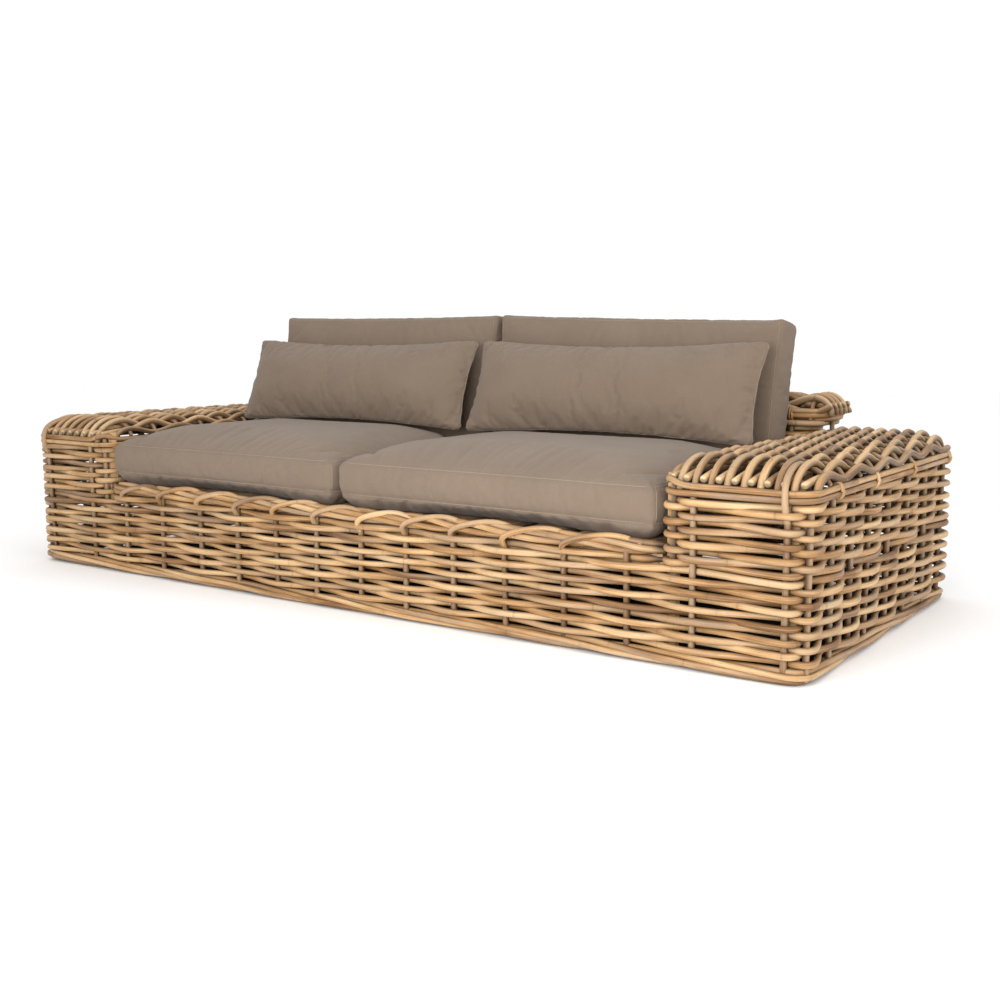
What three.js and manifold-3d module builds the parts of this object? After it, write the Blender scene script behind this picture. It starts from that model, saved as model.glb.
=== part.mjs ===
// Rattan garden sofa: a two-seat lounge on a pole frame, clad on every side with panels of
// woven rattan, with a slatted seat deck and six loose cushions.
// Millimetres, +Z up, +X along the length, the front faces -Y.
// The origin lies on the floor, under the middle of the sofa.
import * as THREE from 'three';
import { mergeVertices } from 'three/addons/utils/BufferGeometryUtils.js';
import Module from 'manifold-3d';

const wasm = await Module();
wasm.setup();

// Overall sizes
const overallWidth = 2620;
const overallDepth = 1120;
const backHeight = 570;
const backRise = 100;
const armWidth = 355;
const backThickness = 200;
const seatHeight = 273;

// Clearance between pieces that touch
const touch = 0.4;

// Poles of the inner frame, and the glides that they stand on
const poleRadius = 16;
const poleSides = 8;
const glideRadius = 20;
const glideHeight = 6;

// Woven panels: stakes between two border rods, and one weaver that runs to and fro
const stakeRadius = 8;
const stakeSpacing = 155;
const rodSpacing = 99;
const borderRadius = 16;
const slimBorderRadius = 10;
const weaverHalfThickness = 5;
const weaverPitch = 32;
const fineWeaverPitch = 15.7;
const topWeaverPitch = 18.5;
const hiddenWeaverPitch = 48;
const weaverGap = 1;
const weaverSlopeShare = 0.05;
const stakeSides = 4;
const borderSides = 6;

// Seat deck: slats on battens
const slatThickness = 12;
const slatWidth = 88;
const slatSpacing = 136;
const battenHeight = 20;
const battenWidth = 30;
const battenLapShare = 0.1;
const deckSideGap = 1;

// Cushions
const cushionGap = 6;
const cushionSideGap = 2;
const seamLip = 3;
const seamHalfHeight = 5;
const seatCushionSetback = 28;
const seatCushionRearRoom = 214;
const seatCushionBelow = 42;
const seatCushionBoxing = 84;
const seatCushionCrown = 66;
const backCushionSideRoom = 27;
const backCushionHeight = 522;
const backCushionBoxing = 95;
const backCushionFrontCrown = 44;
const backCushionRearCrown = 36;
const backCushionLeanShare = 0.052;
const backCushionFromWall = 3;
const pillowSideRoom = 35;
const pillowHeight = 290;
const pillowThickness = 150;
const pillowLeanShare = 0.117;
const pillowGap = 8;

// Places that follow from the sizes
const weaveOffset = stakeRadius * (1 + weaverSlopeShare) + touch + weaverHalfThickness;
const wrapStep = Math.PI / 3;
const endStakeRadius = weaveOffset * Math.cos(wrapStep / 2) - weaverHalfThickness - touch;
const panelHalf = weaveOffset + weaverHalfThickness;
const endReach = panelHalf * Math.sin(wrapStep);
const panelFull = panelHalf * 2;
const floorLevel = glideHeight + touch;
const armHeight = backHeight - backRise;
const armUnderTop = armHeight - panelFull - touch;
const backUnderTop = backHeight - panelFull - touch;
const halfWidth = overallWidth / 2;
const halfDepth = overallDepth / 2;
const armInner = halfWidth - armWidth;
const insideHalfDepth = halfDepth - panelFull - touch;
const wellHalfWidth = armInner - touch;
const wallFront = halfDepth - backThickness;
const wellBack = wallFront - touch;
const deckUnder = seatHeight - slatThickness - battenHeight;
const seatRailLevel = deckUnder - touch - poleRadius;
const panelLowLevel = seatRailLevel - poleRadius;

// Finishes: colour, roughness and metalness
const finishes = {
  weaver: { color: 0xc39a66, roughness: 0.62, metalness: 0 },
  stake: { color: 0xb58a56, roughness: 0.6, metalness: 0 },
  pole: { color: 0xa67c4d, roughness: 0.55, metalness: 0 },
  slat: { color: 0x9c7a55, roughness: 0.7, metalness: 0 },
  fabric: { color: 0x83776b, roughness: 0.95, metalness: 0 },
  glide: { color: 0x3a332c, roughness: 0.5, metalness: 0 },
};

const sofa = new THREE.Group();
sofa.name = 'rattan_garden_sofa';

function addPiece(name, geometry, finish) {
  const mesh = new THREE.Mesh(geometry, new THREE.MeshStandardMaterial(finishes[finish]));
  mesh.name = name;
  sofa.add(mesh);
  return mesh;
}

// Solids

function toSolid(geometry) {
  const bare = geometry.clone();
  bare.deleteAttribute('normal');
  bare.deleteAttribute('uv');
  const merged = mergeVertices(bare);
  return new wasm.Manifold(new wasm.Mesh({
    numProp: 3,
    vertProperties: new Float32Array(merged.attributes.position.array),
    triVerts: new Uint32Array(merged.index.array),
  }));
}

function toGeometry(solid) {
  const { vertProperties, triVerts } = solid.getMesh();
  const geometry = new THREE.BufferGeometry();
  geometry.setAttribute('position', new THREE.BufferAttribute(vertProperties, 3));
  geometry.setIndex(new THREE.BufferAttribute(triVerts, 1));
  return geometry;
}

function join(geometries) {
  return toGeometry(wasm.Manifold.union(geometries.map(toSolid)));
}

// A closed skin over rings of points, with a point in the middle of each end
function skinOverRings(rings) {
  const sides = rings[0].length;
  const points = rings.flat();
  const startMiddle = points.length;
  points.push(middleOf(rings[0]));
  const endMiddle = points.length;
  points.push(middleOf(rings[rings.length - 1]));
  const triangles = [];
  for (let ring = 0; ring < rings.length - 1; ring += 1) {
    for (let side = 0; side < sides; side += 1) {
      const near = ring * sides + side;
      const nearNext = ring * sides + ((side + 1) % sides);
      triangles.push(near, nearNext, near + sides);
      triangles.push(nearNext, nearNext + sides, near + sides);
    }
  }
  const lastStart = (rings.length - 1) * sides;
  for (let side = 0; side < sides; side += 1) {
    const next = (side + 1) % sides;
    triangles.push(startMiddle, next, side);
    triangles.push(endMiddle, lastStart + side, lastStart + next);
  }
  const geometry = new THREE.BufferGeometry();
  const coordinates = points.flatMap((point) => [point.x, point.y, point.z]);
  geometry.setAttribute('position', new THREE.Float32BufferAttribute(coordinates, 3));
  geometry.setIndex(triangles);
  return geometry;
}

function middleOf(points) {
  const sum = points.reduce((total, point) => total.add(point), new THREE.Vector3());
  return sum.divideScalar(points.length);
}

// Poles, posts and glides

function roundBar(radius, length, sides) {
  return new THREE.CylinderGeometry(radius, radius, length, sides);
}

function addPole(name, from, to, finish = 'pole', radius = poleRadius, sides = poleSides) {
  const start = new THREE.Vector3(...from);
  const end = new THREE.Vector3(...to);
  const mesh = addPiece(name, roundBar(radius, start.distanceTo(end), sides), finish);
  const direction = end.clone().sub(start).normalize();
  mesh.quaternion.setFromUnitVectors(new THREE.Vector3(0, 1, 0), direction);
  mesh.position.copy(start.add(end).divideScalar(2));
}

function addPost(name, x, y, top) {
  addPole(name, [x, y, floorLevel], [x, y, top]);
}

function addGlide(name, x, y) {
  addPole(name, [x, y, 0], [x, y, glideHeight], 'glide', glideRadius);
}

// Woven panels. In a panel's own frame the weaver runs along X, its rows step along Y and
// the panel's outer face looks along Z.

function spacedPlaces(length, spacing) {
  const reach = length / 2 - endReach;
  const count = Math.max(2, Math.round((reach * 2) / spacing) + 1);
  return Array.from({ length: count }, (unused, index) => reach * ((index * 2) / (count - 1) - 1));
}

// Border rods at both edges, a flat side outward, with the stakes standing between them
function stakeLadder(length, breadth, places, radius) {
  const railPlace = breadth / 2 - radius;
  const cornerRadius = radius / Math.cos(Math.PI / borderSides);
  const bars = [-railPlace, railPlace].map((place) => (
    roundBar(cornerRadius, length, borderSides).rotateZ(Math.PI / 2).translate(0, place, 0)
  ));
  places.forEach((place, index) => {
    const atEnd = index === 0 || index === places.length - 1;
    const stake = roundBar(atEnd ? endStakeRadius : stakeRadius, railPlace * 2, stakeSides);
    bars.push(stake.translate(place, 0, 0));
  });
  return join(bars);
}

// One weaver that passes in front of one stake and behind the next, and wraps round the last
// stake of each row on its way back along the next row. It is four-sided, or three-sided
// with its ridge low where the rows are fine.
function weaverThrough(breadth, places, radius, pitch) {
  const span = breadth - radius * 4 - touch * 2;
  const rowCount = Math.max(1, Math.round(span / pitch));
  const rowPitch = span / rowCount;
  const halfBand = (rowPitch - weaverGap) / 2;
  const last = places.length - 1;
  const wrapTurns = [1, 2];
  const rings = [];

  function addRing(x, y, z, outward) {
    const centre = new THREE.Vector3(x, y, z);
    const rise = new THREE.Vector3(0, halfBand, 0);
    const swell = outward.clone().multiplyScalar(weaverHalfThickness);
    const top = centre.clone().add(rise);
    const low = centre.clone().sub(rise);
    if (pitch < weaverPitch) {
      rings.push([low.clone().add(swell), low.clone().sub(swell), top]);
    } else {
      rings.push([centre.clone().add(swell), low, centre.clone().sub(swell), top]);
    }
  }

  let facing = 1;
  for (let row = 0; row < rowCount; row += 1) {
    const heading = row % 2 === 0 ? 1 : -1;
    const height = rowPitch * (row + 0.5) - span / 2;
    const outward = new THREE.Vector3(0, 0, facing);
    let side = 1;
    for (let step = 0; step <= last; step += 1) {
      const stake = heading > 0 ? step : last - step;
      side = (stake + row) % 2 === 0 ? 1 : -1;
      if (row === 0 && step === 0) {
        addRing(places[stake] - heading * endReach, height, side * weaveOffset, outward);
      }
      addRing(places[stake], height, side * weaveOffset, outward);
    }
    const endPlace = places[heading > 0 ? last : 0];
    if (row === rowCount - 1) {
      addRing(endPlace + heading * endReach, height, side * weaveOffset, outward);
    } else {
      for (const turn of wrapTurns) {
        const angle = turn * wrapStep;
        const across = heading * Math.sin(angle);
        const through = side * Math.cos(angle);
        const away = new THREE.Vector3(across, 0, through).multiplyScalar(facing * side);
        const rise = height + (angle / Math.PI) * rowPitch;
        addRing(endPlace + across * weaveOffset, rise, through * weaveOffset, away);
      }
    }
    facing = -facing;
  }
  return skinOverRings(rings);
}

function addPanel(name, panel) {
  const { centre, facing, along, length, breadth } = panel;
  const spacing = panel.spacing ?? stakeSpacing;
  const radius = panel.radius ?? borderRadius;
  const pitch = panel.pitch ?? weaverPitch;
  const places = spacedPlaces(length, spacing);
  const outward = new THREE.Vector3(...facing);
  const strand = new THREE.Vector3(...along);
  const rows = outward.clone().cross(strand);
  const basis = new THREE.Matrix4().makeBasis(strand, rows, outward);
  const ladder = addPiece(`${name}_stakes`, stakeLadder(length, breadth, places, radius), 'stake');
  const weave = addPiece(`${name}_weave`, weaverThrough(breadth, places, radius, pitch), 'weaver');
  for (const mesh of [ladder, weave]) {
    mesh.quaternion.setFromRotationMatrix(basis);
    mesh.position.set(...centre);
  }
}

function middle(low, high) {
  return (low + high) / 2;
}

const sides = { left: -1, right: 1 };
const armMiddle = halfWidth - armWidth / 2;
const postInset = panelFull + touch + poleRadius;
const cornerPostX = halfWidth - postInset;
const cornerPostY = insideHalfDepth - endReach;
const frontLineY = postInset - halfDepth;
const innerPostX = armInner + panelHalf;
const innerRearPostX = wellHalfWidth - poleRadius;
const innerRearPostY = wallFront + postInset;

// Front rail, under the seat cushions
addPanel('front_rail', {
  centre: [0, panelHalf - halfDepth, middle(floorLevel, seatHeight)],
  facing: [0, -1, 0],
  along: [1, 0, 0],
  length: overallWidth,
  breadth: seatHeight - floorLevel,
});

// Arms: outer side, front above the rail, inner side above the seat, and top
for (const [word, sign] of Object.entries(sides)) {
  addPanel(`arm_side_${word}`, {
    centre: [sign * (halfWidth - panelHalf), 0, middle(floorLevel, armUnderTop)],
    facing: [sign, 0, 0],
    along: [0, sign, 0],
    length: insideHalfDepth * 2,
    breadth: armUnderTop - floorLevel,
  });
  const frontLow = seatHeight + touch;
  addPanel(`arm_front_${word}`, {
    centre: [sign * armMiddle, panelHalf - halfDepth, middle(frontLow, armUnderTop)],
    facing: [0, -1, 0],
    along: [1, 0, 0],
    length: armWidth,
    breadth: armUnderTop - frontLow,
    radius: slimBorderRadius,
  });
  const innerStart = frontLineY + poleRadius + touch;
  addPanel(`arm_inner_${word}`, {
    centre: [sign * innerPostX, middle(innerStart, insideHalfDepth), middle(panelLowLevel, armUnderTop)],
    facing: [-sign, 0, 0],
    along: [0, -sign, 0],
    length: insideHalfDepth - innerStart,
    breadth: armUnderTop - panelLowLevel,
  });
  addPanel(`arm_top_${word}`, {
    centre: [sign * armMiddle, 0, armHeight - panelHalf],
    facing: [0, 0, 1],
    along: [0, 1, 0],
    length: overallDepth,
    breadth: armWidth,
    spacing: rodSpacing,
    pitch: topWeaverPitch,
    radius: slimBorderRadius,
  });
}

// Back: outer face up to the arms, crest above them, inner face, top and ends
addPanel('back_outer', {
  centre: [0, halfDepth - panelHalf, middle(floorLevel, armUnderTop)],
  facing: [0, 1, 0],
  along: [-1, 0, 0],
  length: overallWidth,
  breadth: armUnderTop - floorLevel,
  pitch: fineWeaverPitch,
});
const crestLow = armUnderTop + touch;
addPanel('back_crest', {
  centre: [0, halfDepth - panelHalf, middle(crestLow, backUnderTop)],
  facing: [0, 1, 0],
  along: [-1, 0, 0],
  length: wellHalfWidth * 2,
  breadth: backUnderTop - crestLow,
  radius: slimBorderRadius,
});
addPanel('back_inner', {
  centre: [0, wallFront + panelHalf, middle(panelLowLevel, backUnderTop)],
  facing: [0, -1, 0],
  along: [1, 0, 0],
  length: wellHalfWidth * 2,
  breadth: backUnderTop - panelLowLevel,
  pitch: hiddenWeaverPitch,
});
addPanel('back_top', {
  centre: [0, middle(wallFront, halfDepth), backHeight - panelHalf],
  facing: [0, 0, 1],
  along: [1, 0, 0],
  length: wellHalfWidth * 2,
  breadth: backThickness,
});
for (const [word, sign] of Object.entries(sides)) {
  const endStart = wallFront + panelFull + touch;
  const endX = sign * (wellHalfWidth - panelHalf);
  addPanel(`back_end_${word}`, {
    centre: [endX, middle(endStart, insideHalfDepth), middle(crestLow, backUnderTop)],
    facing: [sign, 0, 0],
    along: [0, sign, 0],
    length: insideHalfDepth - endStart,
    breadth: backUnderTop - crestLow,
    radius: slimBorderRadius,
  });
}

// Posts and glides
const postTop = armUnderTop;
for (const [word, sign] of Object.entries(sides)) {
  addPost(`corner_post_front_${word}`, sign * cornerPostX, -cornerPostY, postTop);
  addPost(`corner_post_back_${word}`, sign * cornerPostX, cornerPostY, postTop);
  addPost(`arm_post_${word}`, sign * innerPostX, frontLineY, postTop);
  addPost(`back_post_${word}`, sign * innerRearPostX, innerRearPostY, postTop);
  addGlide(`glide_front_${word}`, sign * cornerPostX, -cornerPostY);
  addGlide(`glide_back_${word}`, sign * cornerPostX, cornerPostY);
  addGlide(`glide_arm_${word}`, sign * innerPostX, frontLineY);
}

// Seat frame: rails round the well, a bearer down the middle and its leg
const frontRailY = frontLineY;
const backRailY = wellBack - poleRadius;
const sideRailX = wellHalfWidth - poleRadius;
const bearerStart = frontRailY + poleRadius + touch;
const bearerEnd = backRailY - poleRadius - touch;
const frontRailHalf = innerPostX - poleRadius - touch;
const legY = middle(bearerStart, bearerEnd);

function addCrossRail(name, half, y) {
  addPole(name, [-half, y, seatRailLevel], [half, y, seatRailLevel]);
}

addCrossRail('seat_rail_front', frontRailHalf, frontRailY);
addCrossRail('seat_rail_back', wellHalfWidth, backRailY);
for (const [word, sign] of Object.entries(sides)) {
  const railX = sign * sideRailX;
  addPole(`seat_rail_${word}`, [railX, bearerStart, seatRailLevel], [railX, bearerEnd, seatRailLevel]);
}
addPole('centre_bearer', [0, bearerStart, seatRailLevel], [0, bearerEnd, seatRailLevel]);
addPost('centre_leg', 0, legY, panelLowLevel - touch);
addGlide('glide_centre', 0, legY);

// Seat deck: one slatted half under each seat cushion
function slattedDeck(start, width) {
  const front = -insideHalfDepth;
  const back = wellBack;
  const depth = back - front;
  const lap = slatThickness * battenLapShare;
  const boards = [];
  const count = Math.round((width - slatWidth) / slatSpacing) + 1;
  const step = (width - slatWidth) / (count - 1);
  for (let slat = 0; slat < count; slat += 1) {
    const x = start + slatWidth / 2 + slat * step;
    boards.push(new THREE.BoxGeometry(slatWidth, depth, slatThickness)
      .translate(x, middle(front, back), seatHeight - slatThickness / 2));
  }
  const battenTop = seatHeight - slatThickness + lap;
  for (const y of [frontRailY, legY, backRailY]) {
    boards.push(new THREE.BoxGeometry(width, battenWidth, battenTop - deckUnder)
      .translate(start + width / 2, y, middle(deckUnder, battenTop)));
  }
  return join(boards);
}

const deckWidth = wellHalfWidth - deckSideGap * 2;
addPiece('seat_deck_left', slattedDeck(deckSideGap - wellHalfWidth, deckWidth), 'slat');
addPiece('seat_deck_right', slattedDeck(deckSideGap, deckWidth), 'slat');

// Cushions

// Points round a rounded rectangle whose sides draw in between the corners
function cushionOutline(reachX, reachY, squareness, drawIn) {
  const sideShares = [0.04, 0.27, 0.5, 0.73, 0.96];
  const corners = [[1, -1], [1, 1], [-1, 1], [-1, -1]];
  const points = [];
  corners.forEach(([x, y], index) => {
    const [nextX, nextY] = corners[(index + 1) % corners.length];
    for (const share of sideShares) {
      const squareX = x + (nextX - x) * share;
      const squareY = y + (nextY - y) * share;
      const powers = Math.abs(squareX) ** squareness + Math.abs(squareY) ** squareness;
      const norm = powers ** (1 / squareness);
      const unitX = squareX / norm;
      const unitY = squareY / norm;
      points.push([
        unitX * (reachX - drawIn * (1 - unitY * unitY)),
        unitY * (reachY - drawIn * (1 - unitX * unitX)),
      ]);
    }
  });
  return points;
}

// A pad from rings that each have a share of the outline, an outward step and a height
function padOverRings(outline, rings) {
  return skinOverRings(rings.map(({ share, out = 0, height }) => (
    outline.map(([x, y]) => {
      const reach = Math.hypot(x, y);
      const scale = share + out / reach;
      return new THREE.Vector3(x * scale, y * scale, height);
    })
  )));
}

// A seam that stands out of the boxing's edge as a narrow lip
function seamRings(height) {
  return [
    { share: 1, height: height - seamHalfHeight },
    { share: 1, out: seamLip, height },
    { share: 1, height: height + seamHalfHeight },
  ];
}

// A boxed cushion lying flat: crowned underside, seamed boxing and crowned top
function boxedCushion(width, depth, below, boxing, above) {
  const drawIn = seamLip * 4;
  const squareness = 16;
  const outline = cushionOutline(width / 2 - seamLip, depth / 2 - seamLip, squareness, drawIn);
  const crownShares = [[0.95, 0.34], [0.84, 0.66], [0.55, 0.93], [0.2, 1]];
  const under = crownShares.map(([share, rise]) => ({ share, height: below * (1 - rise) }));
  const over = crownShares.map(([share, rise]) => ({ share, height: below + boxing + above * rise }));
  return padOverRings(outline, [
    ...under.reverse(),
    ...seamRings(below),
    { share: 1, out: seamLip / 2, height: below + boxing / 2 },
    ...seamRings(below + boxing),
    ...over,
  ]);
}

// A knife-edged pillow lying flat, with one seam round its edge
function edgedPillow(width, depth, thickness) {
  const drawIn = seamLip * 6;
  const squareness = 12;
  const outline = cushionOutline(width / 2 - seamLip, depth / 2 - seamLip, squareness, drawIn);
  const bellyShares = [[0.96, 0.3], [0.84, 0.62], [0.6, 0.88], [0.25, 1]];
  const half = thickness / 2;
  const under = bellyShares.map(([share, rise]) => ({ share, height: half * (1 - rise) }));
  const over = bellyShares.map(([share, rise]) => ({ share, height: half * (1 + rise) }));
  return padOverRings(outline, [
    ...under.reverse(),
    { share: 1, out: seamLip, height: half },
    ...over,
  ]);
}

// Stands a cushion on its long edge, leaned back
function standCushion(mesh, lean) {
  mesh.rotation.x = Math.PI / 2 - lean;
}

function solidInPlace(mesh) {
  mesh.updateMatrixWorld(true);
  return toSolid(mesh.geometry.clone().applyMatrix4(mesh.matrixWorld));
}

// Draws a cushion back and slides it along a direction until it lies a gap away from its
// neighbour. The way that is free is halved until it is known finely enough.
function slideAgainst(mesh, target, direction, gap) {
  const halvings = 18;
  mesh.position.addScaledVector(direction, -seatCushionCrown);
  const mover = solidInPlace(mesh);
  const obstacle = solidInPlace(target);
  let free = 0;
  let blocked = seatCushionCrown * 2;
  for (let halving = 0; halving < halvings; halving += 1) {
    const way = middle(free, blocked);
    const moved = mover.translate(direction.clone().multiplyScalar(way).toArray());
    if (moved.intersect(obstacle).isEmpty()) {
      free = way;
    } else {
      blocked = way;
    }
  }
  mesh.position.addScaledVector(direction, free - gap);
}

const seatCushionWidth = wellHalfWidth - cushionGap / 2 - cushionSideGap;
const seatCushionLow = seatHeight + touch;
const seatCushionFront = seatCushionSetback - halfDepth;
const seatCushionBack = wallFront - seatCushionRearRoom;
const seatTop = seatCushionLow + seatCushionBelow + seatCushionBoxing + seatCushionCrown;
const cushionX = (cushionGap + seatCushionWidth) / 2;
const backCushionBulk = backCushionRearCrown + backCushionBoxing + backCushionFrontCrown;
const backLean = Math.PI * backCushionLeanShare;
const pillowLean = Math.PI * pillowLeanShare;
const down = new THREE.Vector3(0, 0, -1);
const rearward = new THREE.Vector3(0, 1, 0);

// Rests a leaned back cushion on the deck and against the front edge of the back's top
function placeBackCushion(mesh, x) {
  standCushion(mesh, backLean);
  mesh.updateMatrixWorld(true);
  const box = new THREE.Box3().setFromObject(mesh, true);
  const z = seatHeight + touch - box.min.z;
  const wallGap = backCushionFromWall / Math.cos(backLean);
  const y = wallFront - wallGap - Math.tan(backLean) * (backHeight - z);
  mesh.position.set(x, y, z);
}

// Rests a leaned pillow on its seat cushion, just in front of its back cushion. Each slide
// changes the other gap a little, so the two are settled in turns.
function placePillow(mesh, seat, back) {
  const settlingTurns = 4;
  standCushion(mesh, pillowLean);
  const startY = back.position.y - backCushionBulk - pillowThickness / 2;
  mesh.position.set(seat.position.x, startY, seatTop + pillowHeight / 2);
  slideAgainst(mesh, seat, down, touch);
  for (let turn = 0; turn < settlingTurns; turn += 1) {
    slideAgainst(mesh, back, rearward, pillowGap);
    slideAgainst(mesh, seat, down, touch);
  }
}

for (const [word, sign] of Object.entries(sides)) {
  const seat = addPiece(`seat_cushion_${word}`, boxedCushion(
    seatCushionWidth,
    seatCushionBack - seatCushionFront,
    seatCushionBelow,
    seatCushionBoxing,
    seatCushionCrown,
  ), 'fabric');
  seat.position.set(sign * cushionX, middle(seatCushionFront, seatCushionBack), seatCushionLow);
  const back = addPiece(`back_cushion_${word}`, boxedCushion(
    wellHalfWidth - backCushionSideRoom,
    backCushionHeight,
    backCushionRearCrown,
    backCushionBoxing,
    backCushionFrontCrown,
  ), 'fabric');
  placeBackCushion(back, sign * cushionX);
  const pillow = addPiece(`lumbar_pillow_${word}`, edgedPillow(
    wellHalfWidth - pillowSideRoom,
    pillowHeight,
    pillowThickness,
  ), 'fabric');
  placePillow(pillow, seat, back);
}

export default sofa;
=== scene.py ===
# Looks of the rattan garden sofa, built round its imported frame.
# Metres, +Z up, +X along the length, the front faces -Y.
import math
from collections import namedtuple

import bpy
import numpy as np
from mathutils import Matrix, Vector
from mathutils.bvhtree import BVHTree


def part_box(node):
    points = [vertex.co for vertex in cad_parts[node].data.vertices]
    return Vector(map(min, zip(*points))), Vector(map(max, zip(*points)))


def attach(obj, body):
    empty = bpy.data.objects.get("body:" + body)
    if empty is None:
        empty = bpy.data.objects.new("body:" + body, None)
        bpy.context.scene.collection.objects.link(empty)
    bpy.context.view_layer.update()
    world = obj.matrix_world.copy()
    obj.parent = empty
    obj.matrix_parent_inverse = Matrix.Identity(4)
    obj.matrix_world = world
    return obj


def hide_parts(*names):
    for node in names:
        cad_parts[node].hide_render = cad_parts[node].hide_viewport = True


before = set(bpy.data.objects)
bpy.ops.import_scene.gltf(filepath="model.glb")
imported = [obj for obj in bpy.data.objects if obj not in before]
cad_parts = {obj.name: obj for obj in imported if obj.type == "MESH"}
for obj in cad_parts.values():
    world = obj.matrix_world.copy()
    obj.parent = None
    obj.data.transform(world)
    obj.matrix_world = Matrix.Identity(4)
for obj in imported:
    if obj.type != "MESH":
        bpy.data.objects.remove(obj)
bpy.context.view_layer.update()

FRAME_BODY = "sofa_frame"
SIDES = (("left", -1), ("right", 1))
TURN = 2 * math.pi


def linked(name, data):
    """A new object in the scene that shows the data."""
    made = bpy.data.objects.new(name, data)
    bpy.context.scene.collection.objects.link(made)
    return made


# Camera, at the photograph's view angle

CAMERA_PLACE = (2.145, -2.888, 0.732)
CAMERA_YAW = math.radians(34.61)
CAMERA_PITCH = math.radians(7.85)
CAMERA_LENS = 42.92


def add_camera():
    data = bpy.data.cameras.new("view")
    data.lens = CAMERA_LENS
    camera = linked("view", data)
    camera.location = CAMERA_PLACE
    camera.rotation_euler = (math.pi / 2 - CAMERA_PITCH, 0, CAMERA_YAW)
    bpy.context.scene.camera = camera
    bpy.context.scene.view_settings.view_transform = "Standard"


# Colours of the finishes. A tone goes with a place on the ramp from pale to dark.

CANE_TONES = [
    (0.12, (0.66, 0.455, 0.245)),
    (0.38, (0.52, 0.32, 0.148)),
    (0.64, (0.36, 0.19, 0.07)),
    (0.92, (0.15, 0.067, 0.021)),
]
TOP_TONES = [
    (0.12, (0.74, 0.51, 0.285)),
    (0.38, (0.60, 0.385, 0.192)),
    (0.64, (0.43, 0.25, 0.112)),
    (0.92, (0.21, 0.107, 0.043)),
]
UPRIGHT_TONES = [
    (0.12, (0.40, 0.26, 0.145)),
    (0.5, (0.29, 0.17, 0.085)),
    (0.9, (0.16, 0.08, 0.034)),
]
POLE_TONES = [
    (0.3, (0.30, 0.17, 0.075)),
    (0.5, (0.42, 0.25, 0.11)),
    (0.7, (0.55, 0.36, 0.17)),
]
SLAT_TONES = [
    (0.32, (0.22, 0.13, 0.07)),
    (0.5, (0.36, 0.23, 0.13)),
    (0.68, (0.48, 0.33, 0.2)),
]
KNOT = (0.12, 0.055, 0.02, 1)
CUT_END = (0.66, 0.50, 0.29, 1)
GREYED = (0.43, 0.32, 0.21, 1)
# Painted shade: near-black for canes inside the wall's middle and down their sides
PAINTED_SHADE = (0.024, 0.0105, 0.0035, 1)
POLE_KNOT = (0.10, 0.05, 0.02, 1)
SLAT_PORE = (0.12, 0.07, 0.04, 1)
GLIDE = (0.035, 0.028, 0.022, 1)
GLIDE_SCUFF = (0.13, 0.11, 0.09, 1)
CLOTH = (0.212, 0.158, 0.116, 1)
DEEP_CLOTH = (0.172, 0.127, 0.092, 1)
# Seams: the cloth's colour lightened into a painted highlight along the rolled edges
PAINTED_HIGHLIGHT_SEAM = (0.27, 0.21, 0.16, 1)
DEEP_PAINTED_HIGHLIGHT_SEAM = (0.215, 0.165, 0.125, 1)
PALE_FLOOR = (0.97, 0.97, 0.97, 1)
# Painted shadow: the colour of a near-black sheet on the floor under the sofa
PAINTED_SHADOW_GROUND = (0.02, 0.016, 0.012, 1)

POLE_KNOT_SPACING = 0.21
THREAD_DENSITY = 2600.0


# Finishes

class Signal:
    """A socket of a finish. Arithmetic on it adds Math nodes."""

    def __init__(self, finish, socket):
        self.finish = finish
        self.socket = socket

    def math(self, operation, *values):
        inputs = dict(enumerate(values))
        return self.finish.node("ShaderNodeMath", {"operation": operation}, inputs)

    def __add__(self, other):
        return self.math("ADD", self, other)

    def __radd__(self, other):
        return self.math("ADD", other, self)

    def __sub__(self, other):
        return self.math("SUBTRACT", self, other)

    def __rsub__(self, other):
        return self.math("SUBTRACT", other, self)

    def __mul__(self, other):
        return self.math("MULTIPLY", self, other)

    def __rmul__(self, other):
        return self.math("MULTIPLY", other, self)

    def fraction(self):
        return self.math("FRACT", self)

    def sine(self):
        return self.math("SINE", self)

    def away_from(self, value):
        return self.math("ABSOLUTE", self - value)

    def ease(self, low, high):
        """0 below low, 1 above high and smooth between."""
        settings = {"interpolation_type": "SMOOTHSTEP"}
        inputs = {"Value": self, "From Min": low, "From Max": high}
        return self.finish.node("ShaderNodeMapRange", settings, inputs)


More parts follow.
